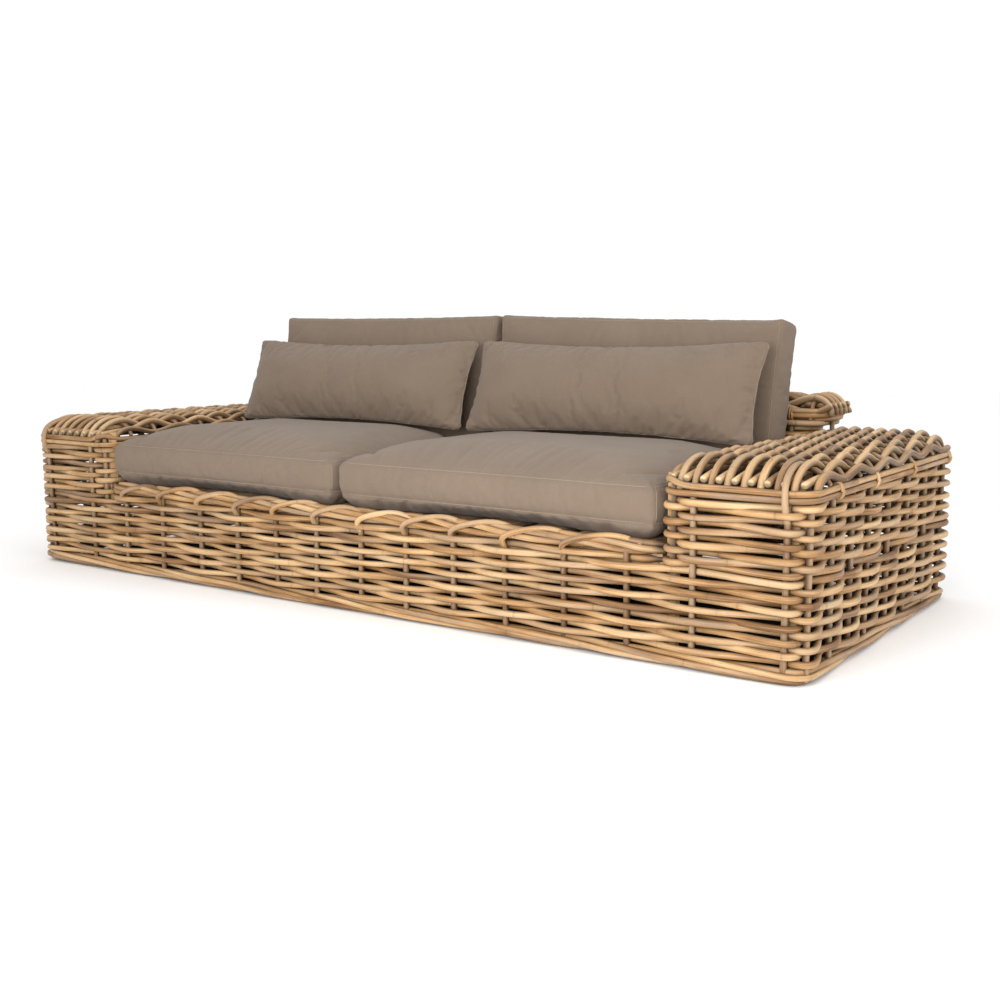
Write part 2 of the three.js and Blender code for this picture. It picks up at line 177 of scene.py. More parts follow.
class Finish:
    """A material round one Principled shader, with the nodes that vary it."""

    def __init__(self, name, **constants):
        self.material = bpy.data.materials.new(name)
        self.material.use_nodes = True
        self.tree = self.material.node_tree
        self.shader = self.tree.nodes["Principled BSDF"]
        for socket, value in constants.items():
            self.shader.inputs[socket.replace("_", " ")].default_value = value

    def node(self, kind, settings=None, inputs=None, output=0):
        made = self.tree.nodes.new(kind)
        for key, value in (settings or {}).items():
            if key == "stops":
                self.set_stops(made.color_ramp, value)
            else:
                setattr(made, key, value)
        for key, value in (inputs or {}).items():
            self.feed(made.inputs[key], value)
        return Signal(self, made.outputs[output])

    def set_stops(self, ramp, stops):
        while len(ramp.elements) < len(stops):
            ramp.elements.new(1)
        for element, (place, colour) in zip(ramp.elements, stops):
            element.position = place
            element.color = (*colour, 1)

    def feed(self, socket, value):
        if isinstance(value, Signal):
            self.tree.links.new(value.socket, socket)
        else:
            socket.default_value = value

    def attribute(self, name, output):
        return self.node("ShaderNodeAttribute", {"attribute_name": name}, output=output)

    def place(self):
        """The place on a piece, in its own metres."""
        return self.node("ShaderNodeTexCoord", output="Object")

    def part(self, vector, axis):
        return self.node("ShaderNodeSeparateXYZ", None, {0: vector}, axis)

    def stretched(self, vector, scale):
        inputs = {0: vector, 1: scale}
        return self.node("ShaderNodeVectorMath", {"operation": "MULTIPLY"}, inputs)

    def noise(self, vector, detail=2.0, roughness=0.5):
        inputs = {"Vector": vector, "Scale": 1.0, "Detail": detail, "Roughness": roughness}
        return self.node("ShaderNodeTexNoise", None, inputs, "Fac")

    def ramp(self, value, stops):
        return self.node("ShaderNodeValToRGB", {"stops": stops}, {"Fac": value})

    def mix(self, share, first, second):
        inputs = {0: share, 6: first, 7: second}
        return self.node("ShaderNodeMix", {"data_type": "RGBA"}, inputs, 2)

    def bump(self, height, depth):
        inputs = {"Height": height, "Distance": depth}
        return self.node("ShaderNodeBump", None, inputs)

    def finished(self, colour, roughness, normal):
        self.feed(self.shader.inputs["Base Color"], colour)
        self.feed(self.shader.inputs["Roughness"], roughness)
        self.feed(self.shader.inputs["Normal"], normal)
        return self.material


def from_knot(along, spacing):
    """Distance to the nearest knot of a cane whose knots lie evenly."""
    return (along * (1 / spacing)).fraction().away_from(0.5) * spacing


def cane_finish(name, tones, knot_spacing):
    """Peeled rattan: a tone for each cane, streaks along it, knots, and painted shade where it lies
    inside the wall or down its sides.
    """
    finish = Finish(name, Specular_IOR_Level=0.42)
    grain = finish.attribute("grain", "Vector")
    tone = finish.attribute("tone", "Fac")
    cut = finish.attribute("cut", "Fac")
    shelter = finish.attribute("shelter", "Fac")
    patches = finish.noise(finish.stretched(grain, (5, 35, 35)), 3.0)
    streaks = finish.noise(finish.stretched(grain, (10, 700, 700)), 3.0, 0.6)
    flecks = finish.noise(finish.stretched(grain, (60, 500, 500)), 2.0)
    drift = finish.noise(finish.stretched(grain, (1.7, 0, 0)), 1.0)
    weather = finish.noise(finish.stretched(grain, (3, 60, 60)), 2.0)
    shade = tone * 0.66 + (patches - 0.5) * 1.2 + (streaks - 0.5) * 1.1 + 0.26
    colour = finish.ramp(shade, tones)
    colour = finish.mix(weather.ease(0.42, 0.68) * 0.5, colour, GREYED)
    knot_gap = from_knot(finish.part(grain, "X") + drift * 0.35, knot_spacing)
    strength = drift.ease(0.4, 0.62) * 0.3 + 0.03
    ring = (1 - knot_gap.ease(0.0008, 0.0034)) * strength
    stain = (1 - knot_gap.ease(0.004, 0.022)) * patches.ease(0.4, 0.6) * strength
    colour = finish.mix(stain * 0.8 + ring, colour, KNOT)
    colour = finish.mix(flecks.ease(0.6, 0.74) * 0.4, colour, KNOT)
    colour = finish.mix(cut * 0.8, colour, CUT_END)
    # Painted shade: darkens the cane inside the wall's middle and down its sides
    colour = finish.mix(shelter * 0.9, colour, PAINTED_SHADE)
    roughness = 0.42 + streaks * 0.22 + cut * 0.2
    relief = ring + streaks * 0.25 + patches * 0.2
    return finish.finished(colour, roughness, finish.bump(relief, 0.0014))


def pole_finish(name, along_axis):
    """Thick rattan pole in its skin, with a ring at every knot along its own axis."""
    finish = Finish(name, Specular_IOR_Level=0.4)
    place = finish.place()
    scale = [6.0 if axis == along_axis else 260.0 for axis in "XYZ"]
    streaks = finish.noise(finish.stretched(place, scale), 3.0, 0.6)
    patches = finish.noise(finish.stretched(place, (9, 9, 9)), 2.0)
    shade = streaks * 0.5 + patches * 0.5
    ring = 1 - from_knot(finish.part(place, along_axis), POLE_KNOT_SPACING).ease(0.001, 0.004)
    colour = finish.mix(ring * 0.7, finish.ramp(shade, POLE_TONES), POLE_KNOT)
    relief = ring + streaks * 0.4
    return finish.finished(colour, 0.42 + streaks * 0.2, finish.bump(relief, 0.002))


def slat_finish():
    """Sawn slats, with the grain along their length."""
    finish = Finish("sawn_slat", Specular_IOR_Level=0.3)
    place = finish.place()
    bend = finish.noise(finish.stretched(place, (9, 1.3, 9)), 2.0)
    figure = finish.noise(finish.stretched(place, (130, 2.4, 60)), 4.0, 0.65)
    pores = finish.noise(finish.stretched(place, (1200, 45, 1200)), 2.0)
    shade = figure * 0.7 + bend * 0.3
    colour = finish.mix(pores.ease(0.6, 0.75) * 0.5, finish.ramp(shade, SLAT_TONES), SLAT_PORE)
    relief = figure * 0.6 + pores * 0.4
    return finish.finished(colour, 0.6 + figure * 0.2, finish.bump(relief, 0.0015))


def glide_finish():
    """Moulded dark glide, dulled and scuffed by the ground."""
    finish = Finish("moulded_glide", Specular_IOR_Level=0.35)
    place = finish.place()
    scuffs = finish.noise(finish.stretched(place, (90, 90, 400)), 3.0, 0.6)
    stipple = finish.noise(finish.stretched(place, (900, 900, 900)), 1.0)
    colour = finish.mix(scuffs.ease(0.5, 0.7) * 0.4, GLIDE, GLIDE_SCUFF)
    return finish.finished(colour, 0.42 + scuffs * 0.3, finish.bump(stipple, 0.0004))


def threads(finish, place, direction):
    """Waves that follow one thread of the cloth after another."""
    inputs = {0: place, 1: direction}
    line = finish.node("ShaderNodeVectorMath", {"operation": "DOT_PRODUCT"}, inputs, "Value")
    return (line * THREAD_DENSITY).sine()


def fabric_finish(name, cloth, deep):
    """Matt outdoor cloth: two crossing threads, a soft mottle and faint rubbed patches."""
    finish = Finish(name, Specular_IOR_Level=0.16, Sheen_Weight=0.12, Sheen_Roughness=0.5)
    place = finish.place()
    warp = threads(finish, place, (1.0, 0.22, 0.16))
    weft = threads(finish, place, (-0.14, 0.86, 1.0))
    slub = finish.noise(finish.stretched(place, (500, 500, 500)), 2.0)
    mottle = finish.noise(finish.stretched(place, (7, 7, 7)), 3.0)
    weave = warp * weft * 0.5 + 0.5
    shade = weave * 0.25 + slub * 0.45 + mottle * 0.3
    colour = finish.mix(shade.ease(0.3, 0.72), deep, cloth)
    relief = weave * 0.5 + slub * 0.5
    return finish.finished(colour, 0.86 + slub * 0.12, finish.bump(relief, 0.0006))


weaver_cane = cane_finish("weaver_cane", CANE_TONES, 0.23)
top_cane = cane_finish("weathered_top_cane", TOP_TONES, 0.26)
upright_cane = cane_finish("upright_cane", UPRIGHT_TONES, 0.31)
cushion_cloth = fabric_finish("cushion_cloth", CLOTH, DEEP_CLOTH)
# The seams' lighter colour is a painted highlight along the rolled edges
seam_cloth_painted_highlight = fabric_finish("seam_cloth_painted_highlight", PAINTED_HIGHLIGHT_SEAM, DEEP_PAINTED_HIGHLIGHT_SEAM)


def finish_kept_nodes():
    """Gives each CAD node that stays in view a finish of its own kind."""
    poles = {axis: pole_finish("rattan_pole_" + axis.lower(), axis) for axis in "XYZ"}
    slats = slat_finish()
    glides = glide_finish()
    for name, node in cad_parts.items():
        if name.startswith("glide"):
            chosen = glides
        elif name.startswith("seat_deck"):
            chosen = slats
        elif name in ("seat_rail_front", "seat_rail_back"):
            chosen = poles["X"]
        elif name.startswith("seat_rail") or name == "centre_bearer":
            chosen = poles["Y"]
        elif "post" in name or name == "centre_leg":
            chosen = poles["Z"]
        else:
            continue
        node.material_slots[0].material = chosen


# Lengths of cane

CANE_SIDES = 8
# Painted shade: a cane laid with depth OPEN gets none; others are painted darker inside the wall's
# middle and down their sides
OPEN = 1.0
PAINTED_SHADE_DEPTHS = (-0.019, -0.005)
SIDE_SHADE = 0.7
CUT_BEVEL = 0.3
GIRTH_DRIFT = 0.07


def eased(values, low, high):
    """0 below low, 1 above high and smooth between."""
    share = np.clip((values - low) / (high - low), 0, 1)
    return share * share * (3 - 2 * share)


def passing(places, sides, marks):
    """How a woven cane sways at the marks, from one side at a place to the other at the next."""
    before = np.clip(np.searchsorted(places, marks, side="right") - 1, 0, len(sides) - 2)
    share = np.clip((marks - places[before]) / (places[before + 1] - places[before]), 0, 1)
    turned = (1 - np.cos(share * math.pi)) / 2
    return sides[before] + (sides[before + 1] - sides[before]) * turned


def unit(vectors):
    return vectors / np.linalg.norm(vectors, axis=1)[:, None]


def marks_along(path):
    """The distance along a path at each of its points."""
    steps = np.linalg.norm(np.diff(path, axis=0), axis=1)
    return np.concatenate([[0], np.cumsum(steps)])


def ended(rows):
    """The rows with the first and the last one twice, for the bevels at a cane's cut ends."""
    return np.concatenate([rows[:1], rows, rows[-1:]])


def ring_faces(count, sides, start=0):
    """Four-cornered faces between rings of points that follow one another."""
    ring = np.arange(count - 1)[:, None] * sides
    side = np.arange(sides)[None, :]
    ahead = (side + 1) % sides
    quads = np.stack([ring + side, ring + ahead, ring + sides + ahead, ring + sides + side], axis=2)
    return (quads.reshape(-1, 4) + start).tolist()


def painted_shade_at(depth, facing, girth):
    """How much painted shade a spot gets: inside the wall's middle, or down a cane's side."""
    inside = 1 - eased(depth + facing, *PAINTED_SHADE_DEPTHS)
    beside = SIDE_SHADE * (1 - np.clip(facing / girth, 0, 1)) ** 2
    return np.where(depth < OPEN, np.maximum(inside, beside), 0)


class Canes:
    """Lengths of cane gathered into one mesh. Each has its own tone and stretch of grain."""

    def __init__(self, seed):
        self.random = np.random.default_rng(seed)
        self.points = []
        self.faces = []
        self.values = {"grain": [], "tone": [], "cut": [], "shelter": []}
        self.count = 0

    def wander(self, marks, reach):
        """A slow drift along a cane, at most about reach."""
        waves = 3
        drift = np.zeros(len(marks))
        for _ in range(waves):
            length = self.random.uniform(0.3, 1.1)
            drift += np.sin(marks * TURN / length + self.random.uniform(0, TURN))
        return drift * reach / waves

    def lay(self, path, radius, up=(0, 0, 1), sides=CANE_SIDES, outward=(0, 0, 1), depth=OPEN):
        """Adds one cane along a path. Depth is how far its middle lies outside the wall's own; with the
        cane's sides it sets the painted shade, and OPEN gives none.
        """
        path = np.asarray(path, float)
        marks = marks_along(path)
        along = unit(np.gradient(path, marks, axis=0))
        across = unit(np.cross(along, np.asarray(up, float)))
        over = np.cross(across, along)
        girth = radius * (1 + self.wander(marks, GIRTH_DRIFT))
        outward = np.broadcast_to(outward, path.shape)
        depth = np.broadcast_to(depth, len(path))[:, None]
        path, marks, girth, across, over, outward, depth = (
            ended(rows) for rows in (path, marks, girth, across, over, outward, depth)
        )
        path[0] -= along[0] * radius * CUT_BEVEL
        path[-1] += along[-1] * radius * CUT_BEVEL
        girth[[0, -1]] *= 1 - CUT_BEVEL
        angles = np.arange(sides) * TURN / sides
        wheel = np.stack([np.cos(angles), np.sin(angles)], axis=1)
        spokes = across[:, None] * wheel[None, :, :1] + over[:, None] * wheel[None, :, 1:]
        spokes = spokes * girth[:, None, None]
        facing = np.einsum("nsk,nk->ns", spokes, outward)
        # Painted shade for each spot: inside the wall's middle, and on the cane's sides and inner half
        shelter = painted_shade_at(depth, facing, girth[:, None])
        self.keep(path[:, None] + spokes, path, marks, wheel * radius, shelter)

    def keep(self, rings, path, marks, wheel, shelter):
        """Stores the rings of a cane, their faces, and the values its finish reads."""
        count, sides = rings.shape[:2]
        start = self.count
        self.faces += ring_faces(count, sides, start)
        tips = start + count * sides
        last = start + (count - 1) * sides
        self.faces += [[tips, start + (s + 1) % sides, start + s] for s in range(sides)]
        self.faces += [[tips + 1, last + s, last + (s + 1) % sides] for s in range(sides)]
        self.points.append(np.vstack([rings.reshape(-1, 3), path[:1], path[-1:]]))
        offset = self.random.uniform(0, 50, 3)
        grain = np.zeros((count, sides, 3))
        grain[:, :, 0] = marks[:, None]
        grain[:, :, 1:] = wheel[None]
        grain = np.vstack([grain.reshape(-1, 3), [[marks[0], 0, 0], [marks[-1], 0, 0]]]) + offset
        cut = np.zeros((count, sides))
        cut[0] = cut[-1] = 1
        tone = np.full(len(grain), self.random.beta(1.7, 1.9))
        cut = np.concatenate([cut.ravel(), [1, 1]])
        shelter = np.concatenate([shelter.ravel(), [shelter[0, 0], shelter[-1, 0]]])
        for key, value in (("grain", grain), ("tone", tone), ("cut", cut), ("shelter", shelter)):
            self.values[key].append(value)
        self.count += len(grain)

    def piece(self, name, finish, slot, *nodes):
        """Makes the mesh object, which rides on the sofa's frame and stands for CAD nodes."""
        mesh = bpy.data.meshes.new(name)
        mesh.from_pydata(np.vstack(self.points), [], self.faces)
        for key, groups in self.values.items():
            values = np.concatenate(groups).astype(np.float32)
            kind, field = ("FLOAT_VECTOR", "vector") if values.ndim == 2 else ("FLOAT", "value")
            mesh.attributes.new(key, kind, "POINT").data.foreach_set(field, values.ravel())
        return set_piece(name, mesh, finish, FRAME_BODY, nodes)


def set_piece(name, mesh, finish, body, nodes=()):
    """Puts a finished mesh in the scene as a piece on a body."""
    mesh.polygons.foreach_set("use_smooth", np.ones(len(mesh.polygons), bool))
    mesh.materials.append(finish)
    mesh.update()
    piece = linked(name, mesh)
    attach(piece, body)
    if nodes:
        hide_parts(*nodes)
    return piece


# Courses: the lines that the woven walls follow, seen from above

CORNER_TURN = 0.038
CANE_STEP = 0.018
BEND_STEP = 0.0065


class Course:
    """Straight walls with rounded corners. The outer face is on the right hand."""

    def __init__(self, corners, closed=False):
        corners = [np.array(corner, float) for corner in corners]
        self.closed = closed
        points = []
        for index, corner in enumerate(corners):
            if not closed and index in (0, len(corners) - 1):
                points.append(corner)
                continue
            beside = np.array([corners[index - 1], corners[(index + 1) % len(corners)]])
            before, after = unit(beside - corner)
            middle = corner + (before + after) * CORNER_TURN
            for share in np.linspace(0, 1, 13):
                angle = share * math.pi / 2
                arm = after * math.cos(angle) + before * math.sin(angle)
                points.append(middle - arm * CORNER_TURN)
        if closed:
            points.append(points[0])
        self.points = self.fill(points)
        self.marks = marks_along(self.points)
        self.length = self.marks[-1]
        tangents = unit(np.gradient(self.points, self.marks, axis=0))
        self.outward = np.stack([tangents[:, 1], -tangents[:, 0]], axis=1)
        self.bending = np.abs(np.gradient(self.outward, self.marks, axis=0)).sum(axis=1) > 1

    def fill(self, points):
        filled = [points[0]]
        for start, end in zip(points, points[1:]):
            count = max(1, int(np.linalg.norm(end - start) / BEND_STEP))
            filled += [start + (end - start) * (step + 1) / count for step in range(count)]
        return np.array(filled)

    def mark_of(self, place):
        """The distance along the course of the point nearest to a place."""
        return self.marks[np.argmin(np.linalg.norm(self.points - np.asarray(place), axis=1))]

    def wrapped(self, marks):
        return np.mod(marks, self.length) if self.closed else np.clip(marks, 0, self.length)

    def samples(self, start, end):
        """Marks from start to end, closer together round the corners."""
        coarse = np.linspace(start, end, max(2, int((end - start) / CANE_STEP) + 1))
        fine = np.linspace(start, end, max(2, int((end - start) / BEND_STEP) + 1))
        bending = np.interp(self.wrapped(fine), self.marks, self.bending.astype(float)) > 0.5
        return np.unique(np.concatenate([coarse, fine[bending]]).round(4))

    def at(self, marks, offset):
        """Points at the marks, offset outward."""
        marks = self.wrapped(marks)
        x, y, out_x, out_y = (
            np.interp(marks, self.marks, column)
            for column in (*self.points.T, *self.outward.T)
        )
        return np.stack([x + out_x * offset, y + out_y * offset], axis=1)

    def facing(self, marks):
        """The outward direction at the marks."""
        marks = self.wrapped(marks)
        out_x, out_y = (np.interp(marks, self.marks, column) for column in self.outward.T)
        return np.stack([out_x, out_y, np.zeros(len(marks))], axis=1)


# Places, from the photograph and the CAD part

WALL_X = 1.2912
WALL_Y = 0.5412
INNER_X = 0.9738
BACK_Y = 0.3788
BACK_HALF = 0.9358
CREST_HALF = 0.99
ARM_REAR = 0.352

FRONT_UPRIGHTS = (-1.25, -1.037, -0.875, -0.708, -0.54, -0.385, -0.232, -0.08,
                  0.08, 0.232, 0.385, 0.54, 0.708, 0.875, 1.037, 1.25)
SIDE_UPRIGHTS = (-0.52, -0.388, -0.26, -0.139, 0.01, 0.166, 0.328, 0.494)
INNER_UPRIGHTS = (-0.37, -0.22, -0.07, 0.09, 0.24)
BACK_UPRIGHTS = tuple(np.linspace(-1.1415, 1.1415, 16).round(4))
CREST_UPRIGHTS = tuple(np.linspace(-0.9, 0.9, 12).round(4))

ROW_LOW = 0.0309
ROW_PITCH = 0.01569
RAIL_ROWS = range(1, 13)
RAIL_TOP_ROW = 13
ARM_ROWS = range(13, 23)
BACK_INNER_ROWS = range(13, 25)
BACK_UPPER_ROWS = range(23, 25)
NARROW_CREST_ROWS = range(25, 29)
CREST_ROWS = range(29, 31)
CANE_RADIUS = 0.0090
UPRIGHT_RADIUS = 0.0078
UPRIGHT_DEPTH = -0.003
WALL_HALF = 0.0188
WEAVE_REACH = 0.0142
BUTT = 0.0012
FOOT = 0.012
CREST_FOOT = 0.43
BASE_BORDER_LEVEL = 0.0205
RAIL_BORDER_LEVEL = 0.2645
ARM_LEVEL = 0.4095
CREST_LEVEL = 0.5235

# How far canes stray by hand: out of the wall, up and down, and a row or an upright as a whole
STRAY_OUT = 0.0012
STRAY_UP = 0.0032
STRAY_ROW = 0.0008
STRAY_LEAN = 0.0012

# Where the last rail row and the rail's border dive behind the corners of the arms
TUCK = 0.03
TUCK_LENGTH = 0.06
TUCK_INSET = 0.016

# Longest cane of a row, and of a row of the back
LONG_RUN = 2.2
SHORT_RUN = 1.5

FRONTWARD = (0, -1, 0)
REARWARD = (0, 1, 0)


def level_of(row):
    return ROW_LOW + row * ROW_PITCH


class Wall:
    """A course with its uprights, numbered so that canes pass before and behind them in turn."""

    def __init__(self, course, places, first=0):
        self.course = course
        marks = sorted(course.mark_of(place) for place in places)
        count = len(marks)
        if course.closed:
            marks = [mark + lap * course.length for lap in (-1, 0, 1) for mark in marks]
            self.numbers = np.arange(-count, 2 * count) + first
        else:
            self.numbers = np.arange(count) + first
        self.marks = np.array(marks)

    def sides(self, row):
        """1 where the row passes outside an upright and -1 where it passes inside."""
        return np.where((self.numbers + row) % 2 == 0, 1, -1)

    def hidden_end(self, mark, row):
        """The upright nearest to a mark that the row passes inside of."""
        inside = self.marks[self.sides(row) < 0]
        return inside[np.argmin(np.abs(inside - mark))]

    def offsets(self, marks, row):
        """How far outside the wall's middle a row lies."""
        return WEAVE_REACH * passing(self.marks, self.sides(row), marks)

    def run(self, canes, row, start, end):
        """Lays one cane of a row, between the two hidden ends nearest to the marks."""
        start = self.hidden_end(start, row) + BUTT
        end = self.hidden_end(end, row) - BUTT
        if end - start < CANE_STEP:
            return
        marks = self.course.samples(start, end)
        offsets = self.offsets(marks, row) + canes.wander(marks, STRAY_OUT)
        levels = level_of(row) + canes.wander(marks, STRAY_UP) + canes.random.normal(0, STRAY_ROW)
        path = np.column_stack([self.course.at(marks, offsets), levels])
        radius = CANE_RADIUS * canes.random.uniform(0.86, 1.04)
        canes.lay(path, radius, outward=self.course.facing(marks), depth=offsets)

    def runs(self, canes, rows, start, end, longest=LONG_RUN):
        """Lays rows of canes, with one joint somewhere in the middle of a long row."""
        for row in rows:
            if end - start > longest:
                joint = start + (end - start) * canes.random.uniform(0.25, 0.75)
                self.run(canes, row, start, joint)
                self.run(canes, row, joint, end)
            else:
                self.run(canes, row, start, end)


def front_places(within=WALL_X, beyond=0):
    """Uprights of the front between two distances from the sofa's middle."""
    return [(x, -WALL_Y) for x in FRONT_UPRIGHTS if beyond < abs(x) < within]


def side_places(sign):
    return [(sign * WALL_X, y) for y in SIDE_UPRIGHTS]


def inner_places(sign):
    """Uprights of an arm's inner face, with the one in its front corner."""
    inset = 0.011
    corner = (sign * (INNER_X + inset), inset - WALL_Y)
    return [corner] + [(sign * INNER_X, y) for y in INNER_UPRIGHTS]


back_places = [(x, WALL_Y) for x in BACK_UPRIGHTS]
outer_places = side_places(1) + back_places + side_places(-1)
rail_corners = [(-WALL_X, -WALL_Y), (WALL_X, -WALL_Y), (WALL_X, WALL_Y), (-WALL_X, WALL_Y)]
rail_course = Course(rail_corners, closed=True)
rail_wall = Wall(rail_course, front_places() + outer_places)
arm_course = Course([
    (INNER_X, ARM_REAR), (INNER_X, -WALL_Y), (WALL_X, -WALL_Y), (WALL_X, WALL_Y),
    (-WALL_X, WALL_Y), (-WALL_X, -WALL_Y), (-INNER_X, -WALL_Y), (-INNER_X, ARM_REAR),
])
arm_fronts = front_places(beyond=INNER_X)
arm_places = inner_places(1) + arm_fronts + outer_places + inner_places(-1)
arm_first = len(FRONT_UPRIGHTS) - len(arm_fronts) // 2 - len(inner_places(1))
arm_wall = Wall(arm_course, arm_places, arm_first)

# Marks near the corners, where the canes of one face give way to those of the next
CORNER_BACK = 0.45
INNER_CORNER_BACK = 0.43
REAR_TURN = 1.14


def corner_marks(course):
    return {
        "front_right": course.mark_of((WALL_X, -CORNER_BACK)),
        "back_right": course.mark_of((REAR_TURN, WALL_Y)),
        "back_left": course.mark_of((-REAR_TURN, WALL_Y)),
        "front_left": course.mark_of((-WALL_X, -CORNER_BACK)),
    }


def uprights(canes, places, low, high, outward):
    """Stands an upright at each place, a little out of plumb as by hand."""
    for x, y in places:
        levels = np.linspace(low, high, 9)
        lean_x, lean_y = canes.random.normal(0, STRAY_LEAN, 2)
        share = np.linspace(-1, 1, len(levels))
        path = np.column_stack([x + lean_x * share, y + lean_y * share, levels])
        radius = UPRIGHT_RADIUS * canes.random.uniform(0.93, 1.05)
        canes.lay(path, radius, up=(1, 0, 0), outward=outward, depth=UPRIGHT_DEPTH)


def weave_face(name, seed, wall, rows, start, end, longest=LONG_RUN):
    """The rows of one face, as a piece."""
    canes = Canes(seed)
    wall.runs(canes, rows, start, end, longest)
    canes.piece("woven_" + name, weaver_cane, "weaver", name + "_weave")


def stand_uprights(name, seed, places, low, high, outward):
    """The uprights of one face, as a piece."""
    canes = Canes(seed)
    uprights(canes, places, low, high, outward)
    canes.piece("uprights_" + name, upright_cane, "stake", name + "_stakes")


def weave_front_rail():
    """Rows round the rail's front, the uprights that they pass, and the row under the border."""
    marks = corner_marks(rail_course)
    canes = Canes(11)
    rail_wall.runs(canes, RAIL_ROWS, marks["front_left"] - rail_course.length, marks["front_right"])
    lay_rail_top_row(canes)
    canes.piece("woven_front_rail", weaver_cane, "weaver", "front_rail_weave")
    places = front_places(within=INNER_X)
    stand_uprights("front_rail", 12, places, FOOT, RAIL_BORDER_LEVEL, FRONTWARD)


def weave_outer_face(name, seeds, start, end, places, outward, upper_rows=()):
    """Rows of the rail and of the arms above it on one outer face, and its uprights."""
    canes = Canes(seeds[0])
    for wall, rows in ((rail_wall, RAIL_ROWS), (arm_wall, ARM_ROWS)):
        marks = corner_marks(wall.course)
        wall.runs(canes, rows, marks[start], marks[end])
    upper_ends = [arm_course.mark_of((x, WALL_Y)) for x in (BACK_HALF, -BACK_HALF)]
    arm_wall.runs(canes, upper_rows, *upper_ends, longest=SHORT_RUN)
    canes.piece("woven_" + name, weaver_cane, "weaver", name + "_weave")
    stand_uprights(name, seeds[1], places, FOOT, ARM_LEVEL, outward)


def weave_outer_walls():
    """The rail's front, the outer faces of the back and the arms, and the arms' fronts."""
    weave_front_rail()
    ends = ("back_right", "back_left")
    weave_outer_face("back_outer", (13, 14), *ends, back_places, REARWARD, BACK_UPPER_ROWS)
    for word, sign in SIDES:
        ends = ("front_right", "back_right") if sign > 0 else ("back_left", "front_left")
        seeds = (15 + sign, 18 + sign)
        weave_outer_face("arm_side_" + word, seeds, *ends, side_places(sign), (sign, 0, 0))
        weave_arm_front(word, sign)


def rail_ends():
    """Marks where the top of the rail disappears behind the arms."""
    reach = INNER_X - TUCK_INSET
    return [rail_course.mark_of((sign * reach, -WALL_Y)) for _, sign in SIDES]


def tucked(offsets, marks, start, end):
    """Offsets that dive inward at both ends, behind the corners of the arms."""
    to_end = np.minimum(marks - start, end - marks)
    return offsets - TUCK * (1 - eased(to_end, 0, TUCK_LENGTH))


def lay_rail_top_row(canes):
    """The last row of the rail, between the arms and under the border."""
    start, end = rail_ends()
    marks = rail_course.samples(start, end)
    offsets = tucked(rail_wall.offsets(marks, RAIL_TOP_ROW), marks, start, end)
    levels = level_of(RAIL_TOP_ROW) + canes.wander(marks, 0.002)
    path = np.column_stack([rail_course.at(marks, offsets), levels])
    canes.lay(path, CANE_RADIUS, outward=rail_course.facing(marks), depth=offsets)


def weave_arm_front(word, sign):
    """Canes across an arm's front, turning back along its inner face, and its uprights."""
    outer = arm_course.mark_of((sign * WALL_X, -CORNER_BACK))
    turn = arm_course.mark_of((sign * INNER_X, -INNER_CORNER_BACK))
    rear = arm_course.mark_of((sign * INNER_X, INNER_UPRIGHTS[-1]))
    weave_face("arm_front_" + word, 21 + sign, arm_wall, ARM_ROWS, *sorted((outer, turn)))
    weave_face("arm_inner_" + word, 24 + sign, arm_wall, ARM_ROWS, *sorted((rear, turn)))
    canes = Canes(27 + sign)
    places = [place for place in arm_fronts if place[0] * sign > 0]
    uprights(canes, places, FOOT, ARM_LEVEL, FRONTWARD)
    outermost = max(places, key=lambda place: abs(place[0]))
    lay_bend(canes, ARM_BEND, outermost, (-sign, 1, 1))
    canes.piece("uprights_arm_front_" + word, upright_cane, "stake", f"arm_front_{word}_stakes")
    low = level_of(ARM_ROWS[0] - 1)
    stand_uprights("arm_inner_" + word, 30 + sign, inner_places(sign), low, ARM_LEVEL, (-sign, 0, 0))


def crest_course(half):
    return Course([(-half, BACK_Y), (half, BACK_Y), (half, WALL_Y), (-half, WALL_Y)], closed=True)


def crest_ends(half):
    return [(sign * half, (BACK_Y + WALL_Y) / 2) for _, sign in SIDES]


def crest_row(y):
    return [(x, y) for x in CREST_UPRIGHTS]


def weave_back_inner():
    """The inner face of the back."""
    course = Course([(-BACK_HALF, BACK_Y), (BACK_HALF, BACK_Y)])
    places = crest_row(BACK_Y)
    wall = Wall(course, places)
    low = level_of(BACK_INNER_ROWS[0])
    weave_face("back_inner", 41, wall, BACK_INNER_ROWS, 0, course.length, SHORT_RUN)
    stand_uprights("back_inner", 42, places, low, CREST_LEVEL, FRONTWARD)


def run_round(canes, wall, row):
    """Lays a row all the way round a closed wall, in three canes."""
    length = wall.course.length
    joints = sorted(wall.hidden_end(length * share, row) for share in (0.2, 0.45, 0.8))
    for start, end in zip(joints, [*joints[1:], joints[0] + length]):
        wall.run(canes, row, start, end)


def weave_crest():
    """The low wall of the back that stands above the arms, with its ends."""
    parts = ("back_crest", "back_end_left", "back_end_right")
    canes = Canes(43)
    for half, rows in ((BACK_HALF, NARROW_CREST_ROWS), (CREST_HALF, CREST_ROWS)):
        places = crest_row(BACK_Y) + crest_row(WALL_Y) + crest_ends(half)
        wall = Wall(crest_course(half), places)
        for row in rows:
            run_round(canes, wall, row)
    canes.piece("woven_back_crest", weaver_cane, "weaver", *(part + "_weave" for part in parts))
    canes = Canes(44)
    uprights(canes, crest_row(WALL_Y), CREST_FOOT, CREST_LEVEL, REARWARD)
    for (_, sign), place in zip(SIDES, crest_ends(CREST_HALF)):
        uprights(canes, [place], CREST_FOOT, CREST_LEVEL, (sign, 0, 0))
    canes.piece("uprights_back_crest", upright_cane, "stake", *(part + "_stakes" for part in parts))


# Bent ends of uprights

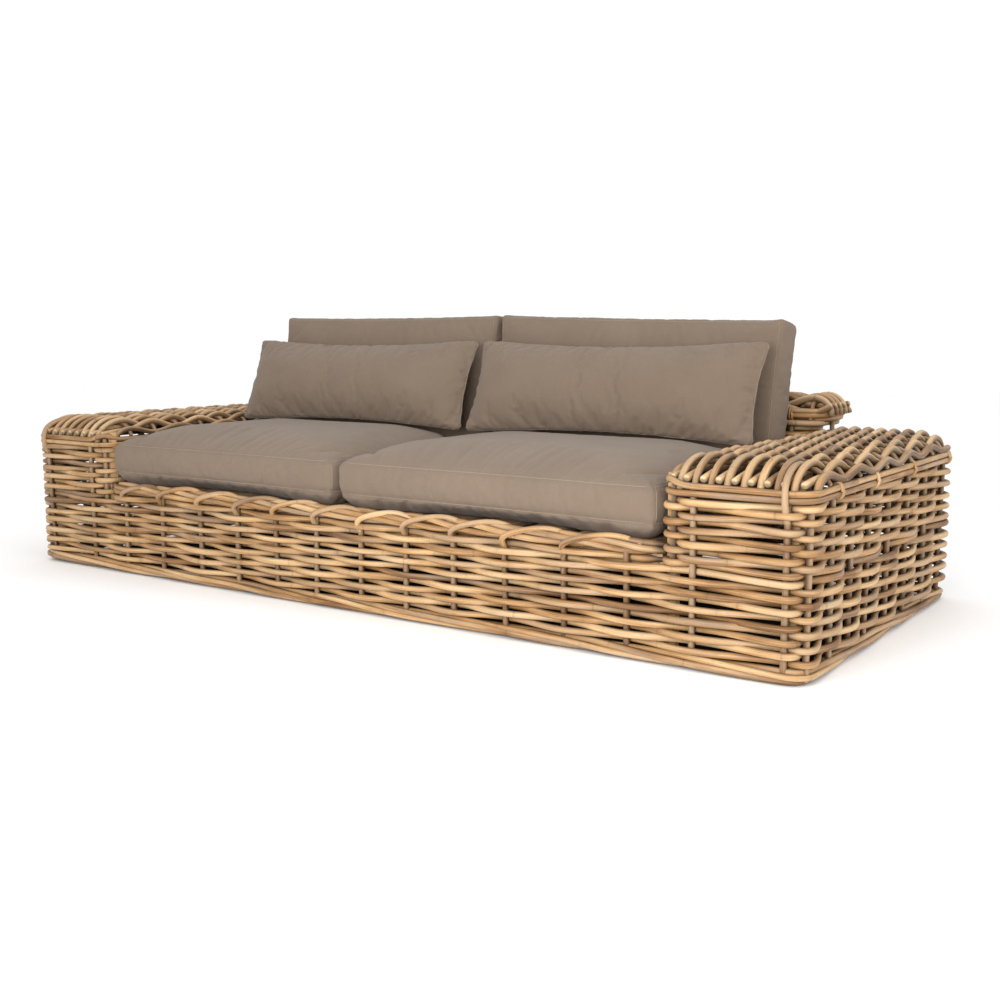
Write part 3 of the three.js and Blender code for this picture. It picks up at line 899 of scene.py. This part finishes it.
# The arm's outermost front upright comes out over the border and lies down into the arm's top
ARM_BEND = [
    (0.0, 0.0, 0.345), (0.0, -0.010, 0.365), (0.0, -0.0185, 0.383), (0.0, -0.0212, 0.402),
    (0.001, -0.019, 0.421), (0.002, -0.008, 0.439), (0.004, 0.016, 0.453), (0.007, 0.05, 0.461),
    (0.01, 0.09, 0.4615), (0.013, 0.13, 0.452), (0.015, 0.165, 0.438),
]
# A rail's upright comes out before the border and lies down over it to the right
RAIL_BEND = [
    (0.0, 0.0, 0.222), (0.001, -0.011, 0.237), (0.006, -0.0205, 0.250), (0.020, -0.0235, 0.2605),
    (0.042, -0.0205, 0.269), (0.072, -0.0135, 0.2765), (0.104, -0.006, 0.281), (0.136, -0.002, 0.281),
    (0.166, -0.001, 0.2755), (0.190, -0.002, 0.267),
]
RAIL_BEND_END = 0.8


def lay_bend(canes, bend, place, stretch, radius=UPRIGHT_RADIUS, up=(1, 0, 0), lift=0):
    """Lays the bent end of the upright at a place."""
    path = np.array(bend) * stretch + (*place, lift)
    canes.lay(finer(path), radius, up=up)


def bend_rail_uprights(canes):
    for place in front_places(within=INNER_X):
        if place[0] < RAIL_BEND_END:
            stretch = (canes.random.uniform(0.9, 1.15), 1, 1)
            lift = canes.random.normal(0, STRAY_LEAN)
            lay_bend(canes, RAIL_BEND, place, stretch, UPRIGHT_RADIUS * 0.96, (0, 0.9, 0.5), lift)


def finer(path):
    """A path with smooth points between the given ones."""
    marks = np.arange(len(path))
    steps = np.linspace(0, len(path) - 1, len(path) * 3)
    low = np.clip(steps.astype(int), 0, len(path) - 2)
    share = (steps - low)[:, None]
    slopes = np.gradient(path, marks, axis=0)
    first, second = path[low], path[low + 1]
    bulge = slopes[low] * (1 - share) - slopes[low + 1] * share
    straight = (second - first) * (1 - 2 * share)
    return first + (second - first) * share + share * (1 - share) * (bulge - straight)


# Borders

ROPE_STEP = 0.0155
ROPE_STRANDS = 4
ROPE_REACH = 0.0102
ROPE_RADIUS = 0.0083

# A border's rise above its middle and below it, and the length of one turn of its canes
SLOW_BRAID = (0.009, 1.15)
TIGHT_BRAID = (0.0118, 0.62)


def braid(canes, course, start, end, level, rise, lay_length):
    """A border of canes laid round one another like a slow rope, falling to the right in front."""
    for strand in range(ROPE_STRANDS):
        marks = np.unique(np.concatenate([np.arange(start, end, ROPE_STEP), [end]]))
        phase = TURN * (strand / ROPE_STRANDS - marks / lay_length) + canes.wander(marks, 0.5)
        offsets = ROPE_REACH * np.cos(phase) + canes.wander(marks, STRAY_OUT)
        if end - start < course.length:
            offsets = tucked(offsets, marks, start, end)
        levels = level + rise * np.sin(phase) + canes.wander(marks, 0.0016)
        path = np.column_stack([course.at(marks, offsets), levels])
        girth = ROPE_RADIUS * canes.random.uniform(0.92, 1.06)
        # The strands' depth paints shade on the ones on the inner side
        canes.lay(path, girth, outward=course.facing(marks), depth=offsets * 1.2)


BORDER_RADIUS = 0.0077
BORDER_OUT = 0.011
BORDER_LENGTHS = (1.3, 2.1)
SHORTEST_BORDER = 0.4
CORNER_LIFT = 0.013
CORNER_LIFT_LENGTH = 0.026
ARM_ROD_DROP = 0.0152
CREST_ROD_DROP = 0.015
LASHING_TURNS = 2
LASHING_RADIUS = 0.0032
LASHING_PITCH = 0.0072
LASHING_HALF = 0.0152
REAR_OVERLAP = 0.03


def border_rods(canes, course, levels, lift_at=None):
    """Rods laid one on another along the top of a wall. The upper one can rise over a corner."""
    for number, level in enumerate(levels):
        start = 0.0
        while start < course.length - 0.05:
            end = min(course.length, start + canes.random.uniform(*BORDER_LENGTHS))
            if course.length - end < SHORTEST_BORDER:
                end = course.length
            marks = course.samples(start, end - 0.0015)
            offsets = BORDER_OUT + canes.wander(marks, 0.0008)
            heights = level + canes.wander(marks, 0.0014)
            if number and lift_at is not None:
                heights = heights + CORNER_LIFT * np.exp(-((marks - lift_at) / CORNER_LIFT_LENGTH) ** 2)
            path = np.column_stack([course.at(marks, offsets), heights])
            canes.lay(path, BORDER_RADIUS, outward=course.facing(marks), depth=BORDER_OUT)
            start = end


def lash(canes, course, mark, level):
    """Two turns of split cane that hold the border rods to an upright."""
    angles = np.linspace(0, TURN * LASHING_TURNS, 14 * LASHING_TURNS + 1)
    marks = mark + LASHING_PITCH * (angles / TURN - LASHING_TURNS / 2)
    out = BORDER_OUT - 0.002 + (BORDER_RADIUS + LASHING_RADIUS + 0.001) * np.cos(angles)
    heights = level + (LASHING_HALF + LASHING_RADIUS) * np.sin(angles)
    start, ahead = course.at(np.array([mark, mark + 0.001]), 0)
    path = np.column_stack([course.at(marks, out), heights])
    canes.lay(path, LASHING_RADIUS, up=(*(ahead - start), 0), sides=6)


def add_arm_border(word, sign):
    """Two rods round an arm, laid over its inner front corner and lashed to the uprights."""
    levels = (ARM_LEVEL - ARM_ROD_DROP, ARM_LEVEL)
    corners = [
        (sign * INNER_X, ARM_REAR), (sign * INNER_X, -WALL_Y), (sign * WALL_X, -WALL_Y),
        (sign * WALL_X, WALL_Y), (sign * (CREST_HALF + REAR_OVERLAP), WALL_Y),
    ]
    course = Course(corners if sign > 0 else corners[::-1])
    canes = Canes(54 + sign)
    border_rods(canes, course, levels, course.mark_of((sign * INNER_X, -WALL_Y)))
    for place in inner_places(sign)[2::2] + side_places(sign)[1::2]:
        lash(canes, course, course.mark_of(place), sum(levels) / 2)
    canes.piece("border_arm_" + word, weaver_cane, "weaver")


def add_borders():
    canes = Canes(51)
    braid(canes, rail_course, 0, rail_course.length, BASE_BORDER_LEVEL, *SLOW_BRAID)
    canes.piece("braided_base_border", weaver_cane, "weaver")
    canes = Canes(52)
    braid(canes, rail_course, *rail_ends(), RAIL_BORDER_LEVEL, *TIGHT_BRAID)
    bend_rail_uprights(canes)
    canes.piece("braided_rail_border", weaver_cane, "weaver")
    for word, sign in SIDES:
        add_arm_border(word, sign)
    canes = Canes(57)
    course = crest_course(CREST_HALF)
    border_rods(canes, course, (CREST_LEVEL - CREST_ROD_DROP, CREST_LEVEL))
    for x in CREST_UPRIGHTS:
        for y in (BACK_Y, WALL_Y):
            lash(canes, course, course.mark_of((x, y)), CREST_LEVEL - CREST_ROD_DROP / 2)
    canes.piece("border_back_crest", weaver_cane, "weaver")


# Tops of the arms and of the back

ROD_RADIUS = 0.0065
TOP_RADIUS = 0.0089
TOP_RISE = 0.0142
TOP_PITCH = 0.01848
TOP_INSET = 0.0112
TOOTH_OUT = 0.004
END_DEPTH = 0.003
ARM_CANES = 19
ARM_RODS = np.linspace(-0.4449, 0.4449, 10)
ARM_REACH = 0.098
CREST_CANES = 10
CREST_RODS = np.linspace(-CREST_HALF + 0.03, CREST_HALF - 0.03, 20)
CREST_INSET = 0.015
CREST_REACH = 0.05

# A woven top: which way its canes run, its middle height and the fall to its edges, how much its
# canes wander, and the heights of their bent ends and of their cut ends
Top = namedtuple("Top", "axis crown fall sway bent_level cut_level")
ARM_TOP = Top("Y", 0.4555, 0.024, 0.002, 0.402, 0.426)
CREST_TOP = Top("X", 0.5475, 0.022, 0.0015, 0.512, 0.537)


def crowned(share, top):
    """Height of a top's middle line across its width, for a share from -1 to 1."""
    return top.crown - top.fall * np.abs(share) ** 8


def rise_at(share):
    """How high a cane arches over the rods. The outermost ones lie flatter against the border."""
    return TOP_RISE * (1 - 0.4 * abs(share) ** 8)


def end_bend(height, side, reach, top):
    """A cane's way on from the last rod: an arch down behind the border, or straight to a cut end."""
    if side > 0:
        turn = np.linspace(0, math.pi / 2, 9)[1:]
        return reach * np.sin(turn), height - (height - top.bent_level) * (1 - np.cos(turn))
    share = np.linspace(0, 1, 6)[1:]
    return (reach + TOOTH_OUT) * share, height + (top.cut_level - height) * share ** 1.5


def over_and_under(canes, rods, first_side, level, rise, reach, top):
    """Ways, heights and depths of a cane over one cross rod and under the next, to both ends."""
    sides = first_side * (-1.0) ** np.arange(len(rods))
    marks = np.linspace(rods[0], rods[-1], int((rods[-1] - rods[0]) / 0.0145))
    heights = level + rise * passing(rods, sides, marks) + canes.wander(marks, 0.0014)
    start_ways, start_heights = end_bend(heights[0], sides[0], reach, top)
    end_ways, end_heights = end_bend(heights[-1], sides[-1], reach, top)
    ways = np.concatenate([rods[0] - start_ways[::-1], marks, rods[-1] + end_ways])
    heights = np.concatenate([start_heights[::-1], heights, end_heights])
    beyond = (ways < rods[0]) | (ways > rods[-1])
    return ways, heights, np.where(beyond, END_DEPTH, heights - level)


def corner_inset(x):
    """How far the rounded corners of an arm draw its edge back at a place across the arm."""
    past = max(x - (WALL_X - CORNER_TURN), INNER_X + CORNER_TURN - x, 0)
    return CORNER_TURN - math.sqrt(CORNER_TURN ** 2 - min(past, CORNER_TURN) ** 2)


def lay_on_top(canes, axis, along, across, heights, radius, depth):
    """Lays one cane of a top, along X or along Y."""
    columns = (along, across, heights) if axis == "X" else (across, along, heights)
    up = (0, 1, 0) if axis == "X" else (1, 0, 0)
    canes.lay(np.column_stack(columns), radius, up=up, depth=depth)


def lay_top_canes(canes, top, lanes, rods, reaches):
    """The canes of a top, side by side, each the other way over the rods than its neighbours."""
    for index, (lane, reach) in enumerate(zip(lanes, reaches)):
        share = index / (len(lanes) - 1) * 2 - 1
        side = 1 if index % 2 == 0 else -1
        level = crowned(share, top)
        along, heights, depth = over_and_under(canes, rods, side, level, rise_at(share), reach, top)
        across = lane + canes.wander(along, top.sway)
        radius = TOP_RADIUS * canes.random.uniform(0.92, 1.03)
        lay_on_top(canes, top.axis, along, across, heights, radius, depth)


def lay_cross_rods(canes, top, low, high, rods, overhang, count, sign=1):
    """The rods under a top's canes, from edge to edge, with their ends bent down."""
    along = np.linspace(low - overhang, high + overhang, count)
    share = (along - low) / (high - low) * 2 - 1
    heights = crowned(share, top) - 0.006 * np.clip(np.abs(share) * 8 - 7.2, 0, 2) ** 2
    axis = "Y" if top.axis == "X" else "X"
    for rod in rods:
        across = np.full(count, rod)
        lay_on_top(canes, axis, sign * along, across, heights, ROD_RADIUS, UPRIGHT_DEPTH)


def weave_arm_top(word, sign):
    """Canes from front to back over cross rods, bent down behind the front border."""
    lanes = INNER_X - WALL_HALF + TOP_INSET + TOP_PITCH * np.arange(ARM_CANES)
    reaches = [ARM_REACH - corner_inset(lane) for lane in lanes]
    canes = Canes(61 + sign)
    lay_top_canes(canes, ARM_TOP, sign * lanes, ARM_RODS, reaches)
    canes.piece("woven_arm_top_" + word, top_cane, "weaver", f"arm_top_{word}_weave")
    canes = Canes(64 + sign)
    lay_cross_rods(canes, ARM_TOP, lanes[0], lanes[-1], ARM_RODS, 0.004, 22, sign)
    canes.piece("cross_rods_arm_top_" + word, upright_cane, "stake", f"arm_top_{word}_stakes")


def weave_back_top():
    """Canes along the top of the back, bent down over its ends."""
    low = BACK_Y - WALL_HALF + CREST_INSET
    high = WALL_Y + WALL_HALF - CREST_INSET
    lanes = low + (high - low) * np.arange(CREST_CANES) / (CREST_CANES - 1)
    canes = Canes(67)
    lay_top_canes(canes, CREST_TOP, lanes, CREST_RODS, [CREST_REACH] * CREST_CANES)
    canes.piece("woven_back_top", top_cane, "weaver", "back_top_weave")
    canes = Canes(68)
    lay_cross_rods(canes, CREST_TOP, low, high, CREST_RODS, 0.006, 14)
    canes.piece("cross_rods_back_top", upright_cane, "stake", "back_top_stakes")


# Cushions

BACK_LEAN = math.pi * 0.052
PILLOW_LEAN = math.pi * 0.117
OUTLINE_POINTS = 128
SWELL_FRAMES = 20
SEAM_RADIUS = 0.0017
SEAM_HOLD = 0.009
SEAM_DRAW = 0.0045
SEAM_WIDTH = 0.0065
SHARES = (0.995, 0.985, 0.97, 0.95, 0.92, 0.88, 0.82, 0.72, 0.6, 0.45, 0.3, 0.15, 0.05)

SEWN_CLOTH = {
    "quality": 5,
    "mass": 0.3,
    "tension_stiffness": 12,
    "compression_stiffness": 12,
    "shear_stiffness": 4,
    "bending_stiffness": 0.35,
    "use_pressure": True,
    "vertex_group_mass": "seams",
    "pin_stiffness": 0.6,
}


def cushion_outline(width, depth, squareness, draw_in, fall=0.0):
    """Points round a soft rectangle whose sides draw in. One long side can fall to the right."""
    angles = np.linspace(0, TURN, OUTLINE_POINTS, endpoint=False)
    x, y = np.cos(angles), np.sin(angles)
    norm = (np.abs(x) ** squareness + np.abs(y) ** squareness) ** (1 / squareness)
    x, y = x / norm, y / norm
    right = np.clip((x + 1) / 2, 0, 1)
    return np.column_stack([
        x * (width / 2 - draw_in * (1 - y * y)),
        y * (depth / 2 - draw_in * (1 - x * x)) - fall * right * np.clip(y, 0, 1),
    ])


def pad_mesh(name, outline, rings):
    """A closed pad from rings, each a share of the outline, an outward step and a height."""
    reach = np.linalg.norm(outline, axis=1)
    sides = len(outline)
    points = []
    for share, out, height in rings:
        scale = share + out / reach
        points.append(np.column_stack([outline * scale[:, None], np.full(sides, height)]))
    last = (len(rings) - 1) * sides
    faces = ring_faces(len(rings), sides)
    faces.append(list(range(sides))[::-1])
    faces.append([last + side for side in range(sides)])
    mesh = bpy.data.meshes.new(name)
    mesh.from_pydata(np.vstack(points), [], faces)
    return mesh


def dome(shares, low, high, roundness, fullness):
    """Rings that rise from an edge to a crown, or fall from it."""
    rise = [(1 - share ** roundness) ** fullness for share in shares]
    return [(share, 0.0, low + (high - low) * part) for share, part in zip(shares, rise)]


def boxed_rings(below, boxing, above):
    """Rings of a boxed cushion: flat underside, boxing between two seams, crowned top."""
    steps = np.linspace(0, 1, 9)
    side = [(1.0, 0.004 * math.sin(step * math.pi), below + boxing * step) for step in steps]
    under = dome(SHARES[::-1], below, 0, 14, 0.5)
    return under + side + dome(SHARES, below + boxing, below + boxing + above, 2.6, 0.72)


def pillow_rings(thickness):
    """Rings of a knife-edged pillow with one seam round its edge."""
    half = thickness / 2
    under = dome(SHARES[::-1], half, 0, 2.6, 0.8)
    return under + [(1.0, 0.0, half)] + dome(SHARES, half, thickness, 2.6, 0.8)


def modified(name, mesh, kind, **settings):
    """The mesh as a modifier leaves it."""
    helper = linked(name + "_blank", mesh)
    modifier = helper.modifiers.new("step", kind)
    for key, value in settings.items():
        setattr(modifier, key, value)
    graph = bpy.context.evaluated_depsgraph_get()
    made = bpy.data.meshes.new_from_object(helper.evaluated_get(graph))
    bpy.data.objects.remove(helper)
    return made


def vectors_of(items, key):
    """One kind of vector of a mesh's items, in rows."""
    values = np.zeros(len(items) * 3, np.float32)
    items.foreach_get(key, values)
    return values.reshape(-1, 3).astype(float)


def points_of(mesh):
    return vectors_of(mesh.vertices, "co")


def set_points(mesh, points):
    mesh.vertices.foreach_set("co", points.astype(np.float32).ravel())


def swell(name, mesh, pad):
    """Blows the pad up as sewn cloth, held a little at its seams, each point's way limited."""
    helper = linked(name + "_swelling", mesh)
    before = points_of(mesh)
    group = helper.vertex_groups.new(name="seams")
    near = np.min([np.abs(before[:, 2] - seam) for seam in pad.seams], axis=0)
    hold = np.clip(1 - near / SEAM_HOLD, 0, 1)
    for index in np.nonzero(hold > 0.01)[0]:
        group.add([int(index)], float(hold[index]), "REPLACE")
    cloth = helper.modifiers.new("swell", "CLOTH")
    for key, value in SEWN_CLOTH.items():
        setattr(cloth.settings, key, value)
    cloth.settings.shrink_min = -pad.slack
    cloth.settings.uniform_pressure_force = pad.pressure
    cloth.settings.effector_weights.gravity = 0
    cloth.point_cache.frame_start = 1
    cloth.point_cache.frame_end = SWELL_FRAMES
    for moment in range(1, SWELL_FRAMES + 1):
        bpy.context.scene.frame_set(moment)
    graph = bpy.context.evaluated_depsgraph_get()
    way = points_of(helper.evaluated_get(graph).data) - before
    length = np.linalg.norm(way, axis=1)
    limit = np.minimum(1, pad.cap / np.maximum(length, 1e-9))
    bpy.data.objects.remove(helper)
    bpy.context.scene.frame_set(1)
    return before + way * limit[:, None]


def fitted(points, size):
    """Points scaled to an overall size, standing on zero and centred."""
    low, high = points.min(0), points.max(0)
    centred = points - (low + high) / 2
    scaled = centred * (np.asarray(size) / (high - low))
    scaled[:, 2] += size[2] / 2
    return scaled


def surface_of(points, mesh):
    """The pad's surface, for rays."""
    polygons = [tuple(face.vertices) for face in mesh.polygons]
    return BVHTree.FromPolygons([tuple(point) for point in points], polygons)


def spots_on(surface, starts):
    """Where level rays from inside the pad, straight away from its middle, leave it."""
    spots = [surface.ray_cast(Vector(start), Vector((*start[:2], 0)))[0] for start in starts]
    return np.array([spot[:] for spot in spots if spot is not None])


def seam_paths(points, mesh, outline, levels):
    """For each seam level, the line where the pad's surface meets it."""
    surface = surface_of(points, mesh)
    inside = outline * 0.75
    return [spots_on(surface, [(x, y, level) for x, y in inside]) for level in levels]


def corner_seams(points, mesh, outline, levels):
    """The upright seams of a boxing, one near each corner."""
    surface = surface_of(points, mesh)
    heights = np.linspace(levels[0] + 0.001, levels[1] - 0.001, 9)
    paths = []
    for side_x, side_y in ((1, -1), (-1, -1), (1, 1), (-1, 1)):
        x, y = outline[np.argmax(outline @ (side_x, side_y * 1.6))] * 0.7
        paths.append(spots_on(surface, [(x, y, height) for height in heights]))
    return paths


def closed_line(path):
    """A seam's line with four times as many points."""
    loop = np.vstack([path, path[:1]])
    return np.vstack([loop[:-1] + (loop[1:] - loop[:-1]) * share for share in (0, 0.25, 0.5, 0.75)])


def gap_to(points, line, reach):
    """Each point's distance from a line, and the nearest spot's number; far points are passed by."""
    gaps = np.full(len(points), 1.0)
    nearest = np.zeros(len(points), int)
    low, high = line.min(0) - reach, line.max(0) + reach
    close = np.nonzero(((points > low) & (points < high)).all(axis=1))[0]
    for start in range(0, len(close), 2048):
        part = close[start:start + 2048]
        distances = np.linalg.norm(points[part, None] - line[None], axis=2)
        nearest[part] = distances.argmin(axis=1)
        gaps[part] = distances.min(axis=1)
    return gaps, nearest


def pinch(points, paths, depth, width):
    """Draws the cloth in along its seams."""
    middle = points.mean(0)
    for path in paths:
        gaps, _ = gap_to(points, closed_line(path), width * 3)
        inward = middle - points
        inward[:, 2] = 0
        inward /= np.maximum(np.linalg.norm(inward, axis=1), 1e-9)[:, None]
        points = points + inward * (depth * np.exp(-(gaps / width) ** 2))[:, None]
    return points


def gathered(points, mesh, paths, random, count, depth):
    """Presses short gathers into the cloth, square to its seams."""
    set_points(mesh, points)
    mesh.update()
    normals = vectors_of(mesh.vertex_normals, "vector")
    sunk = np.zeros(len(points))
    for path in paths:
        for _ in range(count):
            index = random.integers(len(path))
            along = path[(index + 1) % len(path)] - path[index - 1]
            along /= max(np.linalg.norm(along), 1e-9)
            reach = random.uniform(0.02, 0.06)
            width = random.uniform(0.0045, 0.008)
            rest = points - path[index]
            sideways = rest @ along + random.uniform(-0.25, 0.25) * np.linalg.norm(rest, axis=1)
            outward = np.linalg.norm(rest - np.outer(rest @ along, along), axis=1)
            swing = (1 - eased(outward, reach * 0.3, reach)) * eased(outward, 0.0, 0.006)
            sunk += random.uniform(0.4, 1.0) * np.exp(-(sideways / width) ** 2) * swing
    return points - normals * (depth * np.minimum(sunk, 1.6))[:, None]


def leaned(points, lean):
    """Stands a flat pad on its long edge and leans it back."""
    angle = math.pi / 2 - lean
    turned = points.copy()
    turned[:, 1] = points[:, 1] * math.cos(angle) - points[:, 2] * math.sin(angle)
    turned[:, 2] = points[:, 1] * math.sin(angle) + points[:, 2] * math.cos(angle)
    return turned


def into_node(points, node, slide, *others):
    """Moves points to the middle of a CAD node's box, slid a little, and onto its floor."""
    low, high = (np.array(corner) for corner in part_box(node))
    own_low, own_high = points.min(0), points.max(0)
    shift = (low + high) / 2 - (own_low + own_high) / 2
    shift[:2] += slide
    shift[2] = low[2] - own_low[2]
    return [group + shift for group in (points, *others)]


def seam_piece(name, paths, body):
    """Thin rolled seams that stand on the cushion's edges, lighter than the cloth as a painted
    highlight.
    """
    canes = Canes(71)
    for path in paths:
        canes.lay(path, SEAM_RADIUS, up=(0.3, 0.5, 0.8), sides=6)
    mesh = bpy.data.meshes.new(name)
    mesh.from_pydata(np.vstack(canes.points), [], canes.faces)
    return set_piece(name, mesh, seam_cloth_painted_highlight, body)


# How one kind of cushion is cut, swelled, sewn and gathered
Pad = namedtuple("Pad", "rings seams voxel pressure cap slack fill lean gathers depth corner rest")
seat_pad = Pad(
    rings=boxed_rings(0.046, 0.086, 0.048), seams=(0.046, 0.132), voxel=0.009,
    pressure=4.0, cap=0.024, slack=0.025, fill=0.75, lean=0.0,
    gathers=30, depth=0.0022, corner=0.022, rest=0.003,
)
back_pad = Pad(
    rings=boxed_rings(0.020, 0.112, 0.026), seams=(0.020, 0.132), voxel=0.0085,
    pressure=2.0, cap=0.011, slack=0.008, fill=0.7, lean=BACK_LEAN,
    gathers=22, depth=0.0015, corner=0.022, rest=-0.01,
)
pillow_pad = Pad(
    rings=pillow_rings(0.12), seams=(0.06,), voxel=0.0072,
    pressure=3.5, cap=0.018, slack=0.03, fill=0.6, lean=PILLOW_LEAN,
    gathers=60, depth=0.0034, corner=0.03, rest=-0.05,
)


def pointed(points, outline, levels, reach):
    """Draws the cloth out sideways into its four sewn corners."""
    low, high = points[:, :2].min(0), points[:, :2].max(0)
    sewn = (outline - outline.min(0)) / np.ptp(outline, axis=0) * (high - low) + low
    eighth = OUTLINE_POINTS // 8
    past = np.maximum(np.maximum(levels[0] - points[:, 2], points[:, 2] - levels[-1]), 0)
    for corner in sewn[[eighth, 3 * eighth, 5 * eighth, 7 * eighth]]:
        away = np.linalg.norm(points[:, :2] - corner, axis=1) + past
        spot = points[np.argmin(away), :2]
        gaps = np.linalg.norm(points[:, :2] - spot, axis=1)
        near = np.exp(-(gaps ** 2 + past ** 2) / reach ** 2)
        points[:, :2] += (corner - spot) * near[:, None] * 0.85
    return points


def swelled(name, pad, outline):
    """The pad's mesh in even faces, filled until its cloth is taut."""
    coarse = modified(name, pad_mesh(name, outline, pad.rings), "REMESH",
                      mode="VOXEL", voxel_size=pad.voxel)
    points = swell(name, coarse.copy(), pad)
    points[:, 2] = np.maximum(points[:, 2], pad.rest)
    set_points(coarse, points)
    return modified(name, coarse, "SUBSURF", levels=1, render_levels=1)


def sewn(name, mesh, pad, size, outline):
    """Points of the pad and its seams' paths, drawn in at the seams and gathered."""
    points = points_of(mesh)
    low, high = points[:, 2].min(), points[:, 2].max()
    levels = [(seam - low) * size[2] / (high - low) for seam in pad.seams]
    points = pointed(fitted(points, size), outline, levels, pad.corner)
    points = pinch(points, seam_paths(points, mesh, outline, levels), SEAM_DRAW, SEAM_WIDTH)
    paths = seam_paths(points, mesh, outline, levels)
    random = np.random.default_rng(len(name) + round(size[0] * 1000))
    points = gathered(points, mesh, paths, random, pad.gathers, pad.depth)
    paths = [np.vstack([path, path[:2]]) for path in seam_paths(points, mesh, outline, levels)]
    if len(levels) > 1:
        paths += corner_seams(points, mesh, outline, levels)
    return points, paths


def make_cushion(name, pad, size, outline, slide):
    """One cushion with its seams, leaned back as it stands and set in its CAD node's space."""
    mesh = swelled(name, pad, outline)
    points, paths = sewn(name, mesh, pad, size, outline)
    if pad.lean:
        points = leaned(points, pad.lean)
        paths = [leaned(path, pad.lean) for path in paths]
    points, *paths = into_node(points, name, slide, *paths)
    set_points(mesh, points)
    piece = set_piece("padded_" + name, mesh, cushion_cloth, name, (name,))
    seam_piece("seams_" + name, paths, name)


# Each cushion's kind and overall size, its cut, and how far it lies from its CAD node's middle
CUSHIONS = {
    "seat_cushion_left":
        (seat_pad, (0.932, 0.684, 0.192), (0.920, 0.661, 18, 0.007), (-0.0095, -0.006)),
    "seat_cushion_right":
        (seat_pad, (0.970, 0.684, 0.192), (0.960, 0.661, 18, 0.007), (-0.0115, -0.006)),
    "back_cushion_left":
        (back_pad, (0.925, 0.520, 0.173), (0.918, 0.512, 60, 0.003), (-0.0095, 0)),
    "back_cushion_right":
        (back_pad, (0.942, 0.520, 0.173), (0.935, 0.512, 60, 0.003, 0.022), (-0.0245, 0)),
    "lumbar_pillow_left":
        (pillow_pad, (0.950, 0.287, 0.149), (0.925, 0.272, 30, 0.017), (-0.018, 0)),
    "lumbar_pillow_right":
        (pillow_pad, (0.938, 0.287, 0.149), (0.925, 0.272, 30, 0.017), (-0.0185, 0)),
}


# Studio: pale floor, a dark sheet of painted shadow under the sofa, and soft light

def add_area_light(name, place, target, size, power):
    data = bpy.data.lights.new(name, "AREA")
    data.shape = "RECTANGLE"
    data.size, data.size_y = size
    data.energy = power
    light = linked(name, data)
    light.location = place
    light.rotation_euler = (Vector(target) - Vector(place)).to_track_quat("-Z", "Y").to_euler()


def add_ground(name, reach_x, reach_y, level, colour):
    finish = Finish(name, Roughness=0.9, Specular_IOR_Level=0.1)
    finish.shader.inputs["Base Color"].default_value = colour
    mesh = bpy.data.meshes.new(name)
    signs = ((-1, -1), (1, -1), (1, 1), (-1, 1))
    mesh.from_pydata([(reach_x * x, reach_y * y, level) for x, y in signs], [], [(0, 1, 2, 3)])
    mesh.materials.append(finish.material)
    linked(name, mesh)


def add_studio():
    add_ground("pale_floor", 14, 14, 0, PALE_FLOOR)
    # Painted shadow: a near-black sheet on the floor under the sofa, which keeps the gaps in the weave
    # dark
    add_ground("shade_under_sofa", WALL_X - 0.03, WALL_Y - 0.03, 0.0006, PAINTED_SHADOW_GROUND)
    world = bpy.data.worlds.new("studio")
    world.use_nodes = True
    sky = world.node_tree.nodes["Background"]
    sky.inputs["Color"].default_value = (1, 1, 1, 1)
    sky.inputs["Strength"].default_value = 1.03
    bpy.context.scene.world = world
    add_area_light("softbox_front", (1.15, -2.85, 0.95), (0.35, 0, 0.3), (1.5, 1.1), 55)
    add_area_light("softbox_right", (4.0, -1.3, 1.5), (1.0, 0, 0.3), (1.5, 1.5), 30)


add_camera()
add_studio()
finish_kept_nodes()
weave_outer_walls()
weave_back_inner()
weave_crest()
add_borders()
for word, sign in SIDES:
    weave_arm_top(word, sign)
weave_back_top()
for name, (pad, size, cut, slide) in CUSHIONS.items():
    make_cushion(name, pad, size, cushion_outline(*cut), slide)
